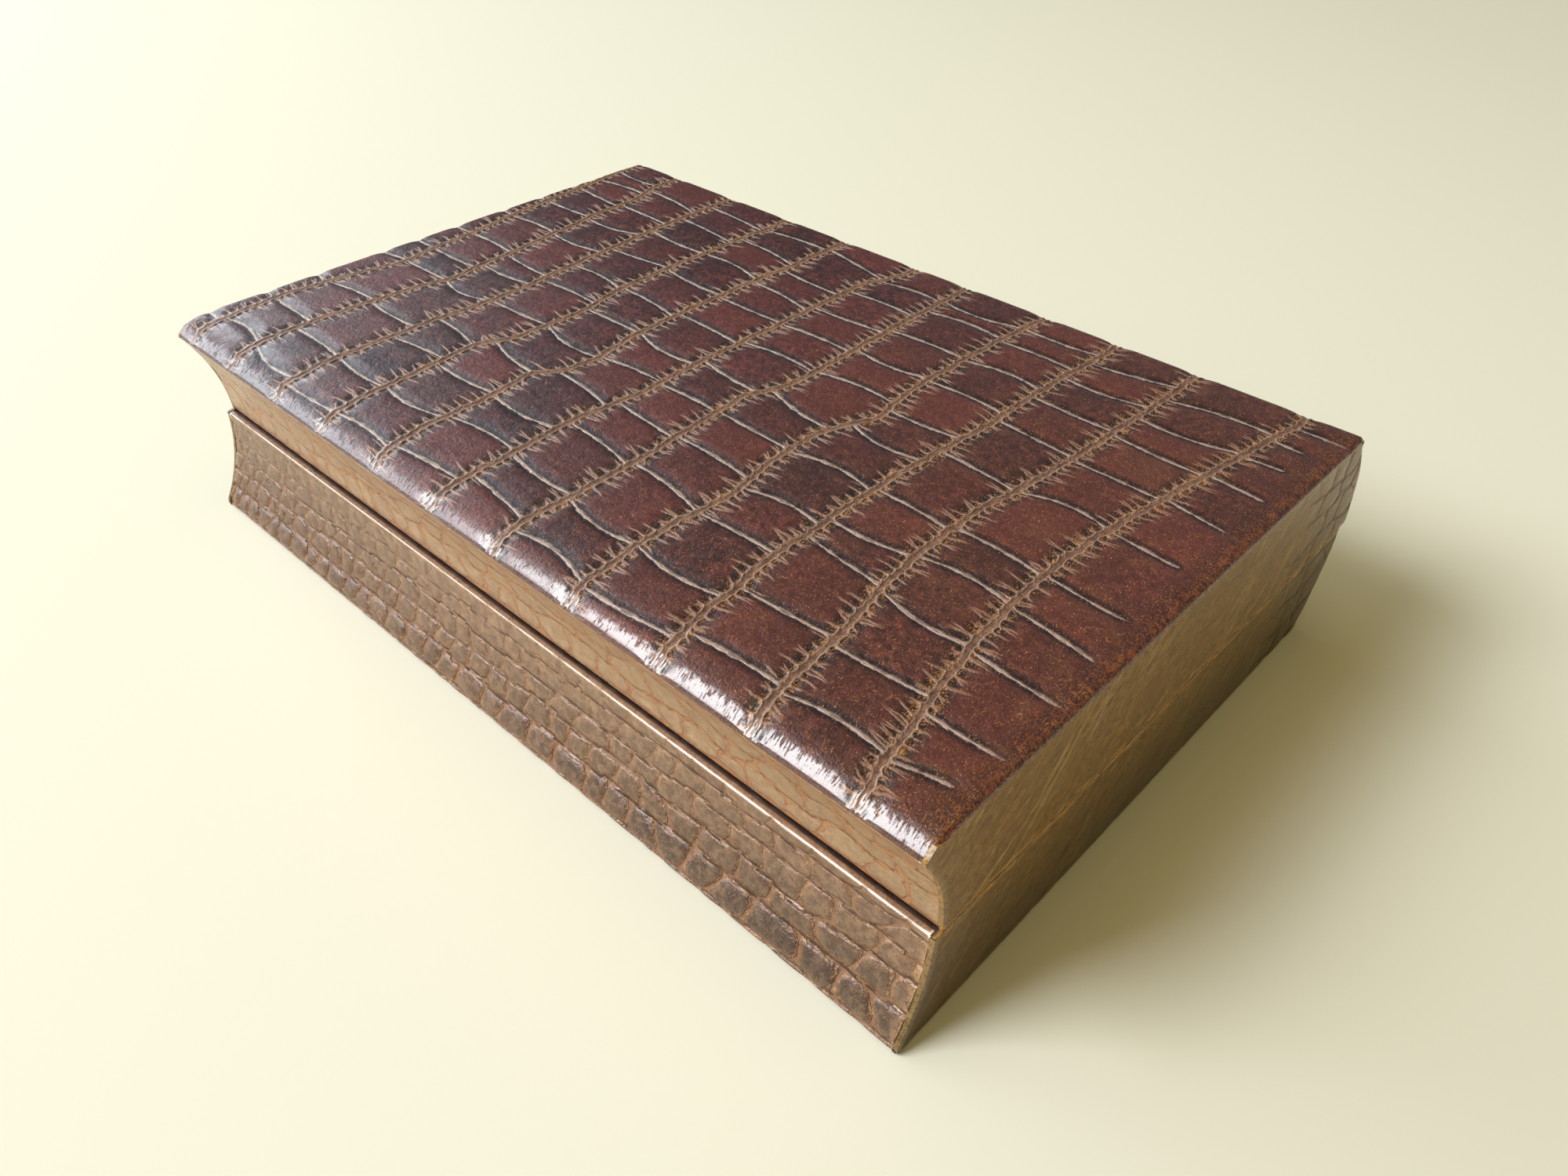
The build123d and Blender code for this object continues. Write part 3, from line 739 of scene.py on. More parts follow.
class Recipe:
    """Adds nodes to one tree and joins them. A value is a number, a colour, hex digits or a node's socket."""

    def __init__(self, tree):
        self.nodes, self.links = tree.nodes, tree.links

    def feed(self, socket, value):
        if isinstance(value, bpy.types.NodeSocket):
            self.links.new(value, socket)
        else:
            socket.default_value = paint(value) if isinstance(value, str) else value

    def feed_all(self, sockets, values):
        for socket, value in zip(sockets, values):
            self.feed(socket, value)

    def add(self, kind, inputs=None, **settings):
        node = self.nodes.new("ShaderNode" + kind)
        for name, value in settings.items():
            setattr(node, name, value)
        for name, value in (inputs or {}).items():
            self.feed(node.inputs[name], value)
        return node

    def math(self, operation, *values, clamp=False):
        node = self.add("Math", operation=operation, use_clamp=clamp)
        self.feed_all(node.inputs, values)
        return node.outputs[0]

    def times(self, first, *others):
        for other in others:
            first = self.math("MULTIPLY", first, other)
        return first

    def plus(self, first, second):
        return self.math("ADD", first, second)

    def minus(self, first, second):
        return self.math("SUBTRACT", first, second)

    def line(self, value, slope, start):
        """The value times a slope, plus a start."""
        return self.math("MULTIPLY_ADD", value, slope, start)

    def apart(self, value, other=None):
        """How far a value is from another one, or from zero."""
        return self.math("ABSOLUTE", value if other is None else self.minus(value, other))

    def step(self, value, low, high):
        """A smooth rise from 0 at low to 1 at high. With high below low it is a fall."""
        node = self.add("MapRange", interpolation_type="SMOOTHSTEP", inputs={
            "Value": value, "From Min": low, "From Max": high})
        return node.outputs[0]

    def noise(self, vector, scale, detail=2.0, roughness=0.5, distortion=0.0):
        node = self.add("TexNoise", inputs={
            "Vector": vector, "Scale": scale, "Detail": detail, "Roughness": roughness,
            "Distortion": distortion})
        return node.outputs["Fac"]

    def parts(self, vector):
        return self.add("SeparateXYZ", inputs={"Vector": vector}).outputs

    def mapped(self, vector, scale=(1, 1, 1), turn=(0, 0, 0)):
        return self.add("Mapping", inputs={"Vector": vector, "Rotation": turn, "Scale": scale}).outputs[0]

    def draws(self, first, second):
        """Three random values for each pair of numbers."""
        pair = self.add("CombineXYZ", inputs={"X": first, "Y": second}).outputs[0]
        noise = self.add("TexWhiteNoise", noise_dimensions="2D", inputs={"Vector": pair})
        return self.parts(noise.outputs["Color"])

    def blend(self, share, low, high):
        node = self.add("Mix", data_type="RGBA", clamp_factor=True)
        self.feed_all([node.inputs[index] for index in (0, 6, 7)], (share, low, high))
        return node.outputs[2]

    def cover(self, colour, *layers):
        """Lays colours over a colour. Each layer is a colour, the mask it shows through and a share of it."""
        for layer, mask, share in layers:
            colour = self.blend(self.times(mask, share), colour, layer)
        return colour

    def place(self):
        return self.add("TexCoord").outputs["Object"]

    def attribute(self, name):
        return self.add("Attribute", attribute_name=name).outputs["Vector"]

    def use(self, group, *values):
        node = self.add("Group", node_tree=group)
        self.feed_all(node.inputs, values)
        return node.outputs

    def relief(self, shader, height, strength=1.0):
        bumps = self.add("Bump", inputs={"Strength": strength, "Distance": RELIEF_DISTANCE, "Height": height})
        self.feed(shader.inputs["Normal"], bumps.outputs["Normal"])


def new_group(name, inputs, outputs):
    """An empty node group, a recipe to fill it, what it is given and the sockets of its results."""
    group = bpy.data.node_groups.new(name, "ShaderNodeTree")
    for title, kind in inputs.items():
        group.interface.new_socket(title, in_out="INPUT", socket_type="NodeSocket" + kind)
    for title in outputs:
        group.interface.new_socket(title, in_out="OUTPUT", socket_type="NodeSocketFloat")
    given, result = group.nodes.new("NodeGroupInput"), group.nodes.new("NodeGroupOutput")
    return group, Recipe(group), given.outputs, result.inputs


def start_material(name):
    material = bpy.data.materials.new(name)
    material.use_nodes = True
    recipe = Recipe(material.node_tree)
    return material, recipe, recipe.nodes["Principled BSDF"]


print("paint turns 808080 into", round(paint("808080")[0], 3))

# %% [markdown]
# ## Lines between scales
# The scale grid holds the scale as a running number, so the distance to the nearest crease is the
# distance to the nearest whole number, times the scale's length. Each scale also gets two random tones of
# its own.

# %% Group: distance to the crease
scale_lines, recipe, given, result = new_group(
    "scale_lines", {"Grid": "Vector"}, ["To crease", "Tone", "Second tone"])
row, scale, length = recipe.parts(given["Grid"])
share = recipe.math("FRACT", scale)
to_crease = recipe.times(recipe.math("MINIMUM", share, recipe.minus(1.0, share)), length)
tones = recipe.draws(recipe.math("FLOOR", row), recipe.math("FLOOR", scale))
recipe.feed_all(result, (to_crease, tones[0], tones[1]))
print(scale_lines.name, "has", len(scale_lines.nodes), "nodes")

# %% [markdown]
# ## Rails, pockets and teeth
# Each groove is a band of fine wrinkles between two thin pale rails. A rail arches round a small dark
# pocket between every two teeth, and near a crease it turns off and becomes the crease. A smooth minimum
# of the two distances makes that turn. The teeth are pale strokes that start at the rail, some single and
# some in pairs.

# %% Group: what stands beside a groove
TOOTH_PITCH = 2.65
beside_groove, recipe, given, result = new_group(
    "beside_groove", {"Teeth": "Vector", "To crease": "Float", "Jitter": "Float"},
    ["Rail", "Band", "Pocket", "Stroke", "Crease"])
count, side, to_groove = recipe.parts(given["Teeth"])
draws = recipe.draws(recipe.math("FLOOR", count), side)
between = recipe.line(recipe.math("FRACT", count), 2.0, -1.0)
arch = recipe.line(recipe.times(between, between), 0.35, 0.46)
arch = recipe.line(draws[0], 0.25, arch)
from_rail = recipe.minus(recipe.plus(to_groove, given["Jitter"]), arch)
to_crease = recipe.plus(given["To crease"], given["Jitter"])
joined = recipe.math("SMOOTH_MIN", from_rail, to_crease, 1.5)
strength = recipe.line(draws[2], 0.4, 0.6)
rail = recipe.times(recipe.step(recipe.apart(joined), 0.38, 0.04), strength)
band = recipe.step(joined, 0.0, -0.35)
crease = recipe.times(recipe.step(to_crease, 0.62, 0.18), recipe.step(from_rail, 0.1, 0.8))
reach = recipe.math("DIVIDE", from_rail, recipe.line(draws[1], 2.4, 1.2))
pocket = recipe.times(
    recipe.step(from_rail, 0.05, 0.5), recipe.step(reach, 1.0, 0.2),
    recipe.step(recipe.apart(between), 1.0, 0.4), strength, recipe.step(to_crease, 0.5, 1.2))
border = recipe.math("ROUND", count)
draws = recipe.draws(border, recipe.plus(side, 0.5))
aside = recipe.plus(recipe.times(recipe.minus(count, border), TOOTH_PITCH), given["Jitter"])
reach = recipe.math("DIVIDE", recipe.minus(to_groove, 0.9), recipe.line(draws[0], 4.4, 1.6))
slant = recipe.times(recipe.line(draws[1], 2.2, -1.1), reach)
paired = recipe.math("GREATER_THAN", draws[2], 0.45)
closing = recipe.math("GREATER_THAN", draws[2], 0.8)
spread = recipe.times(paired, recipe.apart(closing, reach), 0.65)
off = recipe.minus(recipe.apart(aside, slant), spread)
stroke = recipe.step(recipe.math("DIVIDE", recipe.apart(off), recipe.line(reach, -0.2, 0.58)), 1.0, 0.2)
inside = recipe.times(
    recipe.step(reach, -0.05, 0.1), recipe.step(reach, 1.0, 0.5), recipe.step(to_crease, 0.5, 1.1))
recipe.feed_all(result, (rail, band, pocket, recipe.times(stroke, inside), crease))
print(beside_groove.name, "has", len(beside_groove.nodes), "nodes")

# %% [markdown]
# ## The skin itself
# Under every pattern the leather is the same: a fine grain of pores, cloudy brown dye, and tiny orange
# specks where the finish has worn through. One group makes all of it from Object coordinates, so no seam
# or stretch shows.

# %% Group: grain, clouds and specks
leather_skin, recipe, given, result = new_group(
    "leather_skin", {"Place": "Vector", "Speck share": "Float"},
    ["Clouds", "Mottle", "Specks", "Dark specks", "Grain", "Scuffs", "Jitter"])
anywhere = given["Place"]
clouds = recipe.step(recipe.noise(anywhere, 95.0, 3.0, 0.6, 0.6), 0.36, 0.64)
mottle = recipe.step(recipe.noise(anywhere, 560.0, 4.0, 0.72, 0.3), 0.34, 0.68)
flecks = recipe.noise(recipe.mapped(anywhere, (1, 0.38, 1), (0, 0, 0.75)), 4600.0, 2.0, 0.6)
patchy = recipe.step(recipe.noise(anywhere, 260.0, 3.0, 0.65), 0.36, 0.66)
share = recipe.times(given["Speck share"], recipe.line(patchy, 0.7, 0.5))
specks = recipe.step(recipe.line(share, 0.16, recipe.minus(flecks, 0.635)), 0.0, 0.1)
dark_specks = recipe.step(flecks, 0.45, 0.36)
fine = recipe.noise(anywhere, 2600.0, 2.0, 0.6)
coarse = recipe.noise(anywhere, 900.0, 3.0, 0.6, 0.5)
grain = recipe.line(flecks, 0.35, recipe.plus(recipe.times(fine, 0.25), recipe.times(coarse, 0.4)))
scuffs = recipe.step(recipe.noise(anywhere, 60.0, 5.0, 0.65, 0.8), 0.5, 0.7)
slow = recipe.line(recipe.noise(anywhere, 300.0, 1.0), 0.9, -0.45)
jitter = recipe.line(recipe.minus(coarse, 0.5), 0.7, slow)
recipe.feed_all(result, (clouds, mottle, specks, dark_specks, grain, scuffs, jitter))
print(leather_skin.name, "has", len(leather_skin.nodes), "nodes")

# %% [markdown]
# ## The leather of the top
# Dark mahogany scales under a gloss, tan brown in the grooves with a thin pale line on each side, pale
# creases with a dark flank of painted shade, and the comb wrinkles. A dark band of painted shade lies on
# both sides of each groove, and the pockets are dark partly as dye and partly as painted shade. The creases
# are painted paler than the leather, partly as a painted glint. Towards the right the finish is more worn
# and shows orange, and the same mask paints it lighter there as a painted sheen. The coat's gloss takes no
# notice of the relief, so on the rolled front edge a mask of combed hairs breaks it up into strands.

# %% Finish: the top leather
COAT_ROUGHNESS = 0.2


def top_finish():
    material, recipe, shader = start_material("croc_top_leather")
    place = recipe.place()
    x, y, z = recipe.parts(place)
    teeth = recipe.attribute("teeth")
    to_groove = recipe.parts(teeth)[2]
    wear, shown = recipe.parts(recipe.attribute("marks"))[1:]
    to_crease, tone, second = recipe.use(scale_lines, recipe.attribute("scale_grid"))
    to_crease = recipe.plus(to_crease, recipe.line(shown, -6.0, 6.0))
    # More wear towards the right. The same mask also paints that side lighter as a painted sheen.
    worn_and_sheen_side = recipe.step(x, -0.04, 0.11)
    near_groove = recipe.step(to_groove, 3.6, 1.2)
    speck_share = recipe.line(near_groove, 0.75, recipe.line(worn_and_sheen_side, 0.14, 0.06))
    speck_share = recipe.line(recipe.step(x, 0.113, 0.118), 0.5, speck_share)
    clouds, mottle, specks, dark_specks, grain, scuffs, jitter = recipe.use(leather_skin, place, speck_share)
    rail, band, pocket, stroke, crease = recipe.use(beside_groove, teeth, to_crease, jitter)
    # Painted shade: a dark flank beside each crease and a dark band on both sides of each groove.
    crease_flank_shade = recipe.times(
        recipe.step(to_crease, 2.2, 0.9), recipe.step(to_groove, 0.8, 1.6), recipe.step(x, 0.117, 0.112))
    shade = recipe.times(recipe.step(to_groove, 4.4, 1.6), recipe.step(to_groove, 0.9, 1.4))
    right_edge = recipe.step(recipe.line(mottle, 0.003, x), 0.1145, 0.119)

    gold = recipe.blend(mottle, "a85e30", "dca658")
    # The creases are paler leather, painted paler still as a painted glint.
    pale_crease_and_glint = recipe.cover(recipe.blend(mottle, "a88e88", "ecdedc"), ("9c6e58", worn_and_sheen_side, 0.5))
    skin = recipe.cover(
        recipe.blend(mottle, "280f14", "74342c"),
        ("280e14", clouds, 0.7),
        ("1a090b", tone, 0.45),
        ("8a4034", second, 0.35),
        ("96603e", worn_and_sheen_side, recipe.line(scuffs, 0.2, 0.12)),
        ("170906", dark_specks, 0.4),
        ("140707", shade, 0.8),
        ("120607", crease_flank_shade, 0.8),
        # Painted shade, partly dye: the dark pockets between the teeth.
        ("0e0605", pocket, 0.9),
        (gold, specks, 0.85),
        (recipe.blend(worn_and_sheen_side, "bc9a8a", "ac7c60"), stroke, 0.75),
        (pale_crease_and_glint, crease, 0.88),
        (recipe.blend(mottle, "60402f", "967058"), band, 0.9),
        ("b89c8a", rail, 0.75),
        ("2e110a", right_edge, 0.55),
        ("a45c26", wear, recipe.step(grain, 0.47, 0.55)),
        ("4a2013", recipe.step(z, 0.0519, 0.0514), 0.7),
    )
    recipe.feed(shader.inputs["Base Color"], skin)

    rough = recipe.line(recipe.math("MAXIMUM", band, pocket), 0.25, recipe.line(mottle, 0.12, 0.28))
    recipe.feed(shader.inputs["Roughness"], rough)
    rolled = recipe.step(recipe.line(mottle, 0.0015, y), -0.068, -0.0735)
    hairs = recipe.noise(recipe.mapped(place, (1, 0.22, 0.22), (0, 0, 0.3)), 2400.0, 2.0, 0.6)
    outer_edge = recipe.step(y, -0.0722, -0.0756)
    strands = recipe.step(recipe.line(outer_edge, 0.24, recipe.line(mottle, 0.14, hairs)), 0.58, 0.76)
    back_left = recipe.times(recipe.step(x, 0.03, -0.06), recipe.step(y, -0.01, 0.05))
    gloss = recipe.times(recipe.line(mottle, 0.35, 0.3), recipe.line(back_left, -0.7, 1.0))
    gloss = recipe.line(rolled, recipe.minus(strands, gloss), gloss)
    recipe.feed(shader.inputs["Coat Weight"], gloss)
    shader.inputs["Coat Roughness"].default_value = COAT_ROUGHNESS
    shader.inputs["Coat IOR"].default_value = 1.65

    grain_depth = recipe.line(rolled, 0.12, 0.16)
    height = recipe.line(jitter, grain_depth, recipe.times(grain, grain_depth))
    height = recipe.line(hairs, recipe.line(rolled, 0.14, 0.05), height)
    for mask, depth in ((stroke, 0.2), (rail, 0.14), (crease, 0.14), (pocket, -0.12), (mottle, 0.08)):
        height = recipe.line(mask, depth, height)
    recipe.relief(shader, height)
    return material


top_leather.data.materials.append(top_finish())
print("finish of", top_leather.name, "has", len(top_leather.data.materials[0].node_tree.nodes), "nodes")

# %% [markdown]
# ## The leather of the sides
# The same skin, with scales that have a dark middle, a sunk border and a fine light line along it. The
# marks say how strong the scales are at each place. On the lid's front band they are mostly drawn, not
# raised, and on the ends long fine scratches cross them. Close to the seam the long sides have a pale rim,
# partly rubbed and partly a painted highlight, and a ledge painted dark as shadow, and the ends' rims are
# painted dark as shadow too. The long sides are painted darker towards the left end and the ends darker
# towards the bottom, as painted shade, and the right ends are painted a yellower gold than the left ones
# as a painted reflection of the warm floor.

# %% Finish: the side leathers
ALONG_X, ALONG_Y, SHORT = (0.06, 1, 1), (1, 0.05, 1), (0.4, 1, 1)
SCRATCHES = ((-0.75, 100.0, 0.008), (-0.53, 75.0, 0.005), (-0.9, 160.0, 0.01))
SQUIGGLES = ((0.0, 230.0, 0.02),)


def side_finish(name, light, dark, scratch, valleys, lines, drawn, gloss, is_end):
    """drawn says how far the scales are drawn without relief. The colours are hex digits."""
    material, recipe, shader = start_material(name)
    place = recipe.place()
    x = recipe.parts(place)[0]
    to_line, up_face, flat_end = recipe.parts(recipe.attribute("line"))
    wear, strong = recipe.parts(recipe.attribute("marks"))[1:]
    to_crease, tone = recipe.use(scale_lines, recipe.attribute("scale_grid"))[:2]
    to_edge = recipe.math("SMOOTH_MIN", to_line, to_crease, 2.6)
    near_edge = recipe.times(recipe.step(to_edge, 1.8, 0.4), strong)
    clouds, mottle, specks, dark_specks, grain, scuffs, jitter = recipe.use(
        leather_skin, place, recipe.line(near_edge, 0.5, 0.3))
    to_edge = recipe.line(jitter, 1.2 + 1.6 * drawn, to_edge)
    valley = recipe.step(to_edge, 0.32, 0.1)
    fine_line = recipe.step(recipe.apart(to_edge, 0.4), 0.14 + 0.2 * drawn, 0.04 + 0.08 * drawn)
    fine_line = recipe.times(fine_line, recipe.line(mottle, 0.7, 0.3))
    low_right = recipe.times(recipe.step(x, -0.08, 0.1), recipe.step(up_face, 1.0, 0.1))
    dark_middle = recipe.times(recipe.step(to_edge, 0.35, 0.7), strong, recipe.line(low_right, 0.5, 0.3))
    edge_share = recipe.line(strong, 0.5, drawn)
    scratched = 0.0
    for turn, size, width in SCRATCHES if is_end else SQUIGGLES:
        run = recipe.mapped(recipe.mapped(place, turn=(turn, 0, 0)), ALONG_Y if is_end else SHORT)
        long_lines = recipe.apart(recipe.noise(run, size, 2.0, 0.5, 0.3), 0.5)
        scratched = recipe.math("MAXIMUM", scratched, recipe.step(long_lines, width, width / 3))
    scratched = recipe.times(scratched, recipe.line(scuffs, 0.6, 0.4))

    skin = recipe.cover(
        recipe.blend(mottle, dark, light),
        (dark, clouds, 0.4),
        ("402a20", recipe.times(tone, strong), 0.35),
        ("3a2418", dark_middle, recipe.line(mottle, -0.45, 1.2)),
    )
    if not is_end:
        # Painted shade: the long sides are darker towards the left end.
        skin = recipe.cover(skin, ("3a2822", recipe.step(x, 0.03, -0.1), 0.36 - 0.36 * drawn))
    skin = recipe.cover(
        skin,
        ("24130c", dark_specks, 0.3),
        ("c4864a", specks, 0.65),
        (valleys, valley, edge_share),
        (lines, fine_line, edge_share),
        (scratch, scratched, 0.7 if is_end else 0.3),
        # Painted shade: the ends are darker towards the bottom.
        ("36200a", recipe.times(recipe.step(up_face, 0.8, 0.0), flat_end), 0.75),
    )
    worn = recipe.times(wear, recipe.step(grain, 0.42, 0.54))
    if is_end:
        from_seam = recipe.apart(up_face, SEAM / HEIGHT)
        outer = recipe.step(recipe.apart(x), 0.1188, 0.1194)
        near_seam = recipe.times(recipe.step(from_seam, 0.06, 0.01), outer)
        ticks = recipe.noise(recipe.mapped(place, (1, 0.14, 1)), 1200.0, 2.0, 0.6)
        ticks = recipe.step(recipe.line(near_seam, 0.12, ticks), 0.6, 0.68)
        # Painted shadow: the ends' rim faces at the seam are dark.
        rim = recipe.times(recipe.step(from_seam, 0.02, 0.012), recipe.minus(1.0, outer))
        skin = recipe.cover(skin, ("a88c54", worn, 0.5), ("c08a48", ticks, near_seam))
        skin = recipe.blend(rim, skin, recipe.blend(mottle, "210d0a", "3c2014"))
    else:
        stretches = recipe.step(recipe.noise(place, 120.0, 5.0, 0.7), 0.36, 0.52)
        # The pale line along the rim is partly rubbed leather and partly a painted highlight.
        rubbed_rim_highlight = recipe.times(recipe.step(wear, 0.58, 0.82), recipe.step(up_face, 0.97, 0.985))
        # Painted shadow: the turned ledge at the seam is dark.
        shaded_ledge = recipe.math("MAXIMUM", recipe.step(up_face, 1.036, 1.046), recipe.step(up_face, -0.02, -0.05))
        skin = recipe.cover(
            skin,
            ("c89a70", worn, 0.8),
            ("f6f0e4", rubbed_rim_highlight, recipe.line(stretches, 0.65, 0.3)),
            ("210d0a", shaded_ledge, 0.95),
        )
    recipe.feed(shader.inputs["Base Color"], skin)
    rough = recipe.line(wear, -0.08, recipe.line(mottle, 0.12, 0.28))
    recipe.feed(shader.inputs["Roughness"], rough)
    shader.inputs["Specular IOR Level"].default_value = gloss
    recipe.feed(shader.inputs["Coat Weight"], recipe.line(mottle, 0.5 * gloss, -0.1))
    shader.inputs["Coat Roughness"].default_value = COAT_ROUGHNESS
    height = recipe.line(jitter, 0.08, recipe.times(grain, 0.14))
    height = recipe.line(scratched, 0.03, height)
    for mask, depth in ((recipe.step(to_edge, 0.0, 0.8), 0.4), (valley, -0.06), (fine_line, 0.06)):
        height = recipe.line(recipe.times(mask, strong), depth, height)
    recipe.relief(shader, height)
    return material


for light, dark, scratch, valleys, lines, drawn, gloss, names in (
    ("ac845e", "765238", "5c4630", "84593c", "c08a58", 0.2, 1.0, ("base_front", "base_back", "lid_back")),
    ("c6a27a", "a8845e", "6c5436", "b07c4a", "964a1c", 0.9, 0.8, ("lid_front",)),
    # Painted reflection: the right ends are a yellower gold than the left ones, for warm light from the
    # floor.
    ("ac7a2c", "7a5014", "e0c486", "44280e", "8a6030", 0.12, 0.6, ("base_right", "lid_right")),
    ("946a46", "644226", "bc9c74", "3c2416", "8a6040", 0.12, 0.6, ("base_left", "lid_left")),
):
    title, is_end = f"croc_{names[0]}_leather", names[0].endswith(("left", "right"))
    finish = side_finish(title, light, dark, scratch, valleys, lines, drawn, gloss, is_end)
    for name in names:
        bpy.data.objects[name + "_cover"].data.materials.append(finish)
    print(finish.name, "covers", ", ".join(names))

# %% [markdown]
# ## Wood and cedar
# The carcass is planed softwood, and the lining is Spanish cedar: reddish, straight grained, with fine
# pores. The growth rings are bands and noise, stretched so that they run along each board.

# %% Finish: wood and cedar
wood_grain, recipe, given, result = new_group("wood_grain", {"Place": "Vector"}, ["Rings", "Pores", "Fibre"])
warp = recipe.noise(given["Place"], 12.0, 2.0)
bands = recipe.add("TexWave", wave_type="BANDS", bands_direction="DIAGONAL", inputs={
    "Vector": given["Place"], "Scale": 85.0, "Distortion": 7.0, "Detail": 4.0, "Detail Scale": 1.6})
rings = recipe.math("MULTIPLY", bands.outputs["Fac"], recipe.plus(warp, 0.5), clamp=True)
pores = recipe.step(recipe.noise(given["Place"], 900.0, 2.0, 0.6), 0.6, 0.72)
recipe.feed_all(result, (rings, pores, recipe.noise(given["Place"], 420.0, 4.0, 0.6)))


def wood_finish(name, light, dark, pore, stretch, rough):
    material, recipe, shader = start_material(name)
    rings, pores, fibre = recipe.use(wood_grain, recipe.mapped(recipe.place(), stretch))
    board = recipe.cover(recipe.blend(rings, light, dark), (dark, fibre, 0.5), (pore, pores, 0.6))
    recipe.feed(shader.inputs["Base Color"], board)
    recipe.feed(shader.inputs["Roughness"], recipe.line(fibre, 0.2, rough - 0.1))
    recipe.relief(shader, recipe.minus(recipe.times(fibre, 0.05), recipe.times(pores, 0.06)))
    return material


CEDAR = ("b9774a", "96552f", "5e3018")
cedar_long = wood_finish("cedar_along_box", *CEDAR, ALONG_X, 0.55)
cedar_cross = wood_finish("cedar_across_box", *CEDAR, ALONG_Y, 0.55)
carcass = wood_finish("carcass_wood_long", "c9a577", "a98454", "7b5c36", ALONG_X, 0.6)
print(wood_grain.name, "has", len(wood_grain.nodes), "nodes")

# %% [markdown]
# ## Brass and steel
# The hinges are drawn brass that has gone slightly dull, with fine drawing lines along the leaf. The pins
# are plain steel.

# %% Finish: brass and steel


def metal_finish(name, bright, dull, rough):
    material, recipe, shader = start_material(name)
    place = recipe.place()
    lines = recipe.noise(recipe.mapped(place, (0.05, 1, 1)), 2500.0, 2.0)
    patches = recipe.step(recipe.noise(place, 90.0, 5.0, 0.65), 0.3, 0.75)
    recipe.feed(shader.inputs["Base Color"], recipe.blend(patches, bright, dull))
    shader.inputs["Metallic"].default_value = 1.0
    rough = recipe.plus(recipe.times(patches, 0.15), recipe.line(lines, 0.12, rough))
    recipe.feed(shader.inputs["Roughness"], rough)
    recipe.relief(shader, recipe.times(lines, 0.02), strength=0.6)
    return material


brass = metal_finish("aged_brass", "c8a870", "a2824e", 0.26)
steel = metal_finish("pin_steel_grey", "a8a8a6", "77746f", 0.25)
print("metals:", brass.name, steel.name)

# %% [markdown]
# A board that runs from front to back has its grain across the box, and all the others have it along.

# %% Give the CAD nodes their finish
counts = {}
for name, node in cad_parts.items():
    if name.startswith(("cedar_", "lid_cedar_")):
        across = name.endswith(("left", "right", "left_lining", "right_lining", "divider"))
        finish = cedar_cross if across else cedar_long
    elif "pin" in name:
        finish = steel
    elif "hinge" in name:
        finish = brass
    else:
        finish = carcass
    node.data.materials.clear()
    node.data.materials.append(finish)
    counts[finish.name] = counts.get(finish.name, 0) + 1
print("CAD nodes in each finish:", counts)

# %% [markdown]
# ## Felt and wadding
# The box stands on a sheet of felt, which hides the turned-in leather. Under the top leather lies a thin
# pad of cotton wadding. Nobody sees it, but it is part of the build, so it is made as a soft crowned pad.

# %% Make the felt and the wadding
FELT_X, FELT_Y = 106.2, 64.2
PAD_FRONT, PAD_BACK = -73.2, 78.4


def soft_sheet(name, low, high, shape, body, node, steps):
    """A closed soft slab between two corners in mm. shape(x, y, top) gives a lift in mm."""
    blank = cut_blank(*steps)
    size = np.subtract(high, low)

    def lay(column, station, depth):
        x = low[0] + size[0] * column / steps[0]
        y = low[1] + size[1] * station / steps[1]
        top = 1 - depth
        return np.stack([x, y, low[2] + size[2] * top + shape(x, y, top)], axis=1), {}

    return finish_leather(name, blank, lay, body, [node])


chance = np.random.default_rng(7)
waves = [(chance.uniform(0.02, 0.09), chance.uniform(0.02, 0.09), chance.uniform(0, 6.3)) for _ in range(8)]


def ripple(x, y, finer):
    """The mean of a few slow waves."""
    return sum(np.sin(finer * a * x + finer * b * y + c) for a, b, c in waves) / len(waves)


def felt_shape(x, y, top):
    edge = np.minimum(FELT_X - np.abs(x), FELT_Y - np.abs(y))
    return (1 - top) * (0.06 * (1 + ripple(x, y, 1)) + 0.35 * bump(edge, 1.0))


def wadding_shape(x, y, top):
    edge = np.minimum(COVERED - np.abs(x), np.minimum(y - PAD_FRONT, PAD_BACK - y))
    return top * (0.05 * ripple(x, y, 2) - 0.06 - 1.1 * np.maximum(0, 1 - edge / 2.5) ** 2)


felt = soft_sheet("underside_felt_sheet", (-FELT_X, -FELT_Y, 0.0), (FELT_X, FELT_Y, 1.2), felt_shape,
                  "base", "base_underside_felt", (150, 92))
wadding = soft_sheet("lid_wadding_pad", (-COVERED, PAD_FRONT, 52.1), (COVERED, PAD_BACK, 53.5), wadding_shape,
                     "lid", "lid_padding", (120, 80))


def cloth_finish(name, light, dark, fibre_scale):
    material, recipe, shader = start_material(name)
    place = recipe.place()
    fibre = recipe.noise(place, fibre_scale, 4.0, 0.7, 1.5)
    patches = recipe.step(recipe.noise(place, 70.0, 3.0), 0.45, 0.7)
    colour = recipe.cover(recipe.blend(fibre, dark, light), (dark, patches, 0.35))
    recipe.feed(shader.inputs["Base Color"], colour)
    shader.inputs["Roughness"].default_value = 0.95
    shader.inputs["Sheen Weight"].default_value = 0.4
    recipe.relief(shader, recipe.times(fibre, 0.12))
    return material


felt.data.materials.append(cloth_finish("brown_felt", "5a3b2a", "2a1912", 1500.0))
wadding.data.materials.append(cloth_finish("cotton_wadding", "e2dac8", "c4b79d", 600.0))

# %% [markdown]
# ## Floor and light
# The box stands on a plain cream floor, which fades into an even backdrop far away. Light comes softly
# from a large window-like panel at the front left, which also draws the bright line along the padded
# front edge. A panel at the left gives the grey sheen, and a faint warm one overhead colours the shade.
# The room around glows a little too.

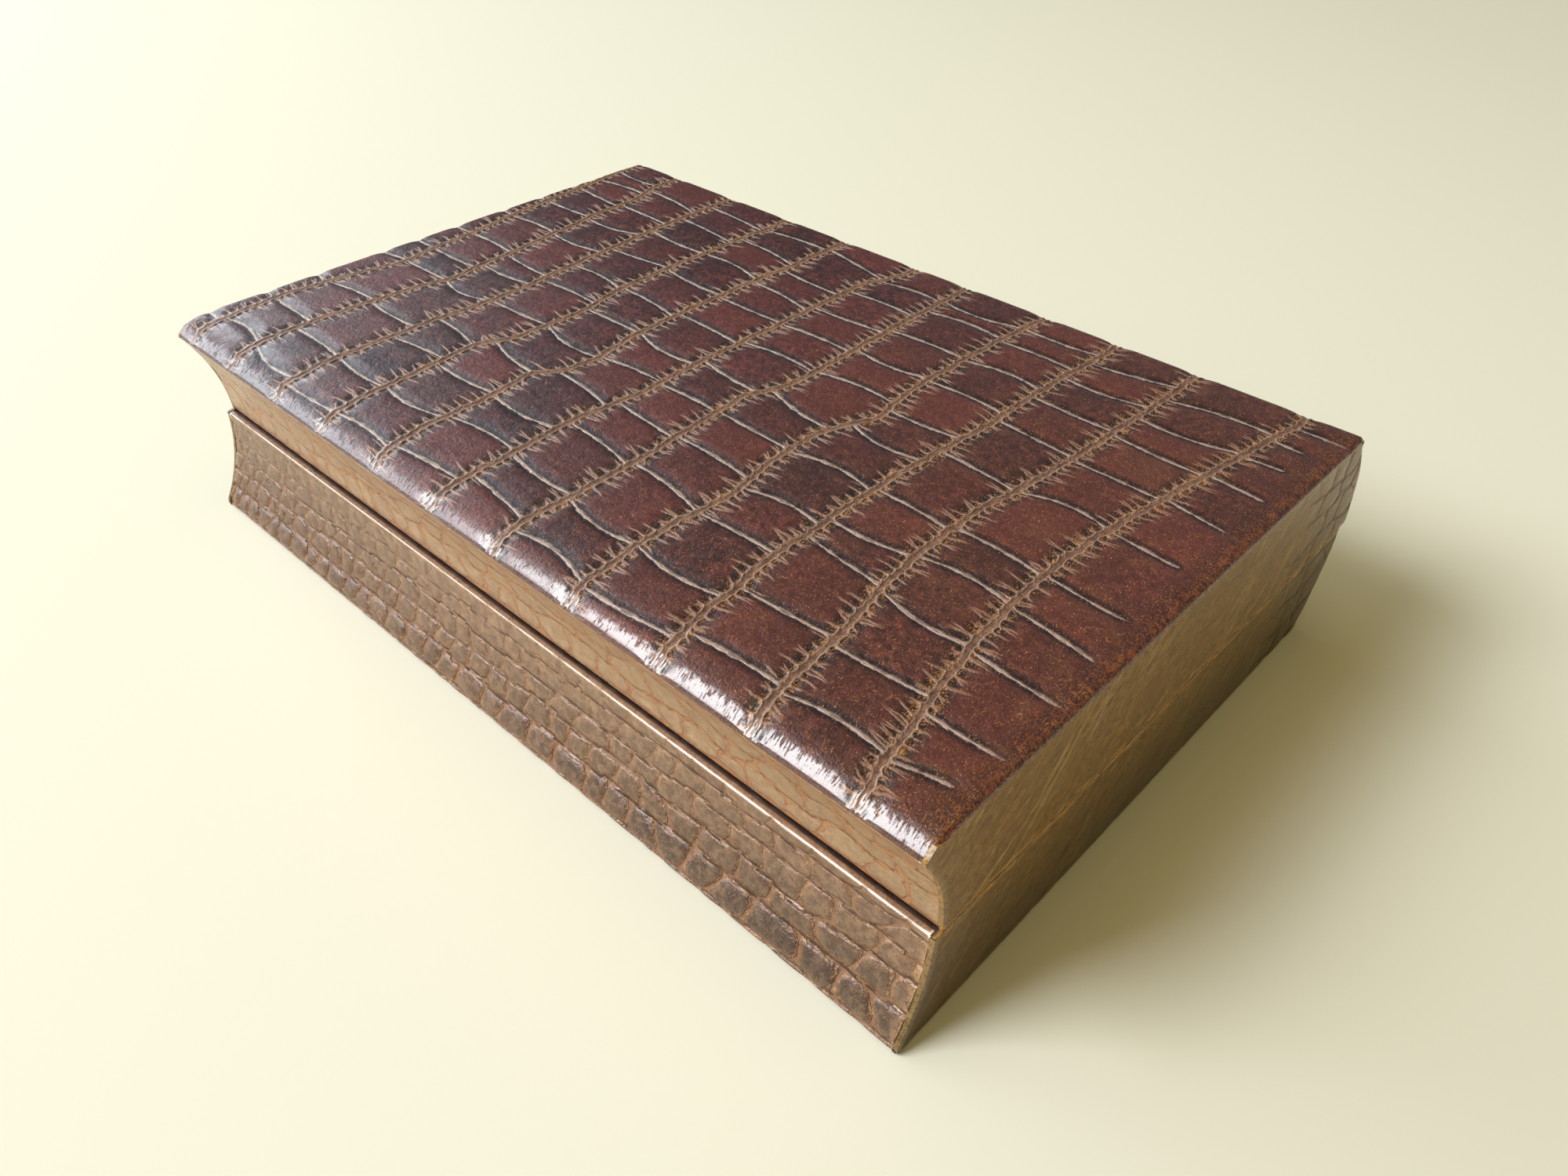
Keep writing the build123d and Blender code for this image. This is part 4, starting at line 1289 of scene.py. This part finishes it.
# %% Floor and light
bpy.ops.mesh.primitive_plane_add(size=8)
floor = bpy.context.object
floor.name = "floor"
material, recipe, shader = start_material("cream_floor")
distance = recipe.add("VectorMath", operation="LENGTH", inputs={"Vector": recipe.place()}).outputs["Value"]
far = recipe.times(recipe.step(distance, 0.6, 1.9), recipe.add("LightPath").outputs["Is Camera Ray"])
recipe.feed(shader.inputs["Base Color"], recipe.blend(far, "f0f1e2", "000000"))
recipe.feed(shader.inputs["Emission Color"], recipe.blend(far, "000000", "f0eed8"))
shader.inputs["Emission Strength"].default_value = 1.0
shader.inputs["Roughness"].default_value = 0.9
shader.inputs["Specular IOR Level"].default_value = 0.1
floor.data.materials.append(material)

world = bpy.data.worlds.new("studio")
bpy.context.scene.world = world
world.use_nodes = True
sky = Recipe(world.node_tree)
rays = sky.add("LightPath").outputs
seen = sky.math("MAXIMUM", rays["Is Camera Ray"], rays["Is Transmission Ray"])
background = sky.nodes["Background"]
room = sky.blend(rays["Is Glossy Ray"], (1.0, 0.79, 0.38, 1), (0.76, 0.88, 1.0, 1))
along_x, _, upwards = sky.parts(sky.add("TexCoord").outputs["Generated"])
window_side = sky.step(sky.line(upwards, 0.6, sky.times(along_x, -1.0)), 0.92, 1.14)
sky.feed(background.inputs["Color"], sky.blend(seen, room, "f2efdd"))
fill = sky.line(rays["Is Glossy Ray"], sky.line(window_side, 0.55, 0.02), 0.17)
sky.feed(background.inputs["Strength"], sky.line(seen, 0.83, fill))

AIM = Vector((0, 0, 0.03))
for name, place, size, watts, tint in (
    ("window_panel", (-1.097, -1.627, 1.736), (1.3, 1.2), 70.0, (0.97, 0.98, 1.0)),
    ("left_panel", (-2.2, -0.5, 0.9), (2.6, 1.0), 32.0, (0.84, 0.92, 1.0)),
    ("ceiling_panel", (0.3, 0.1, 2.2), (1.6, 1.6), 7.0, (1.0, 0.8, 0.36)),
):
    light = bpy.data.lights.new(name, "AREA")
    light.shape = "RECTANGLE"
    light.size, light.size_y = size
    light.energy = watts
    light.color = tint
    lamp = bpy.data.objects.new(name, light)
    lamp.location = place
    lamp.rotation_euler = (AIM - Vector(place)).to_track_quat("-Z", "Y").to_euler()
    bpy.context.scene.collection.objects.link(lamp)
    print(name, "gives", watts, "W")
bpy.context.scene.view_settings.view_transform = "Standard"
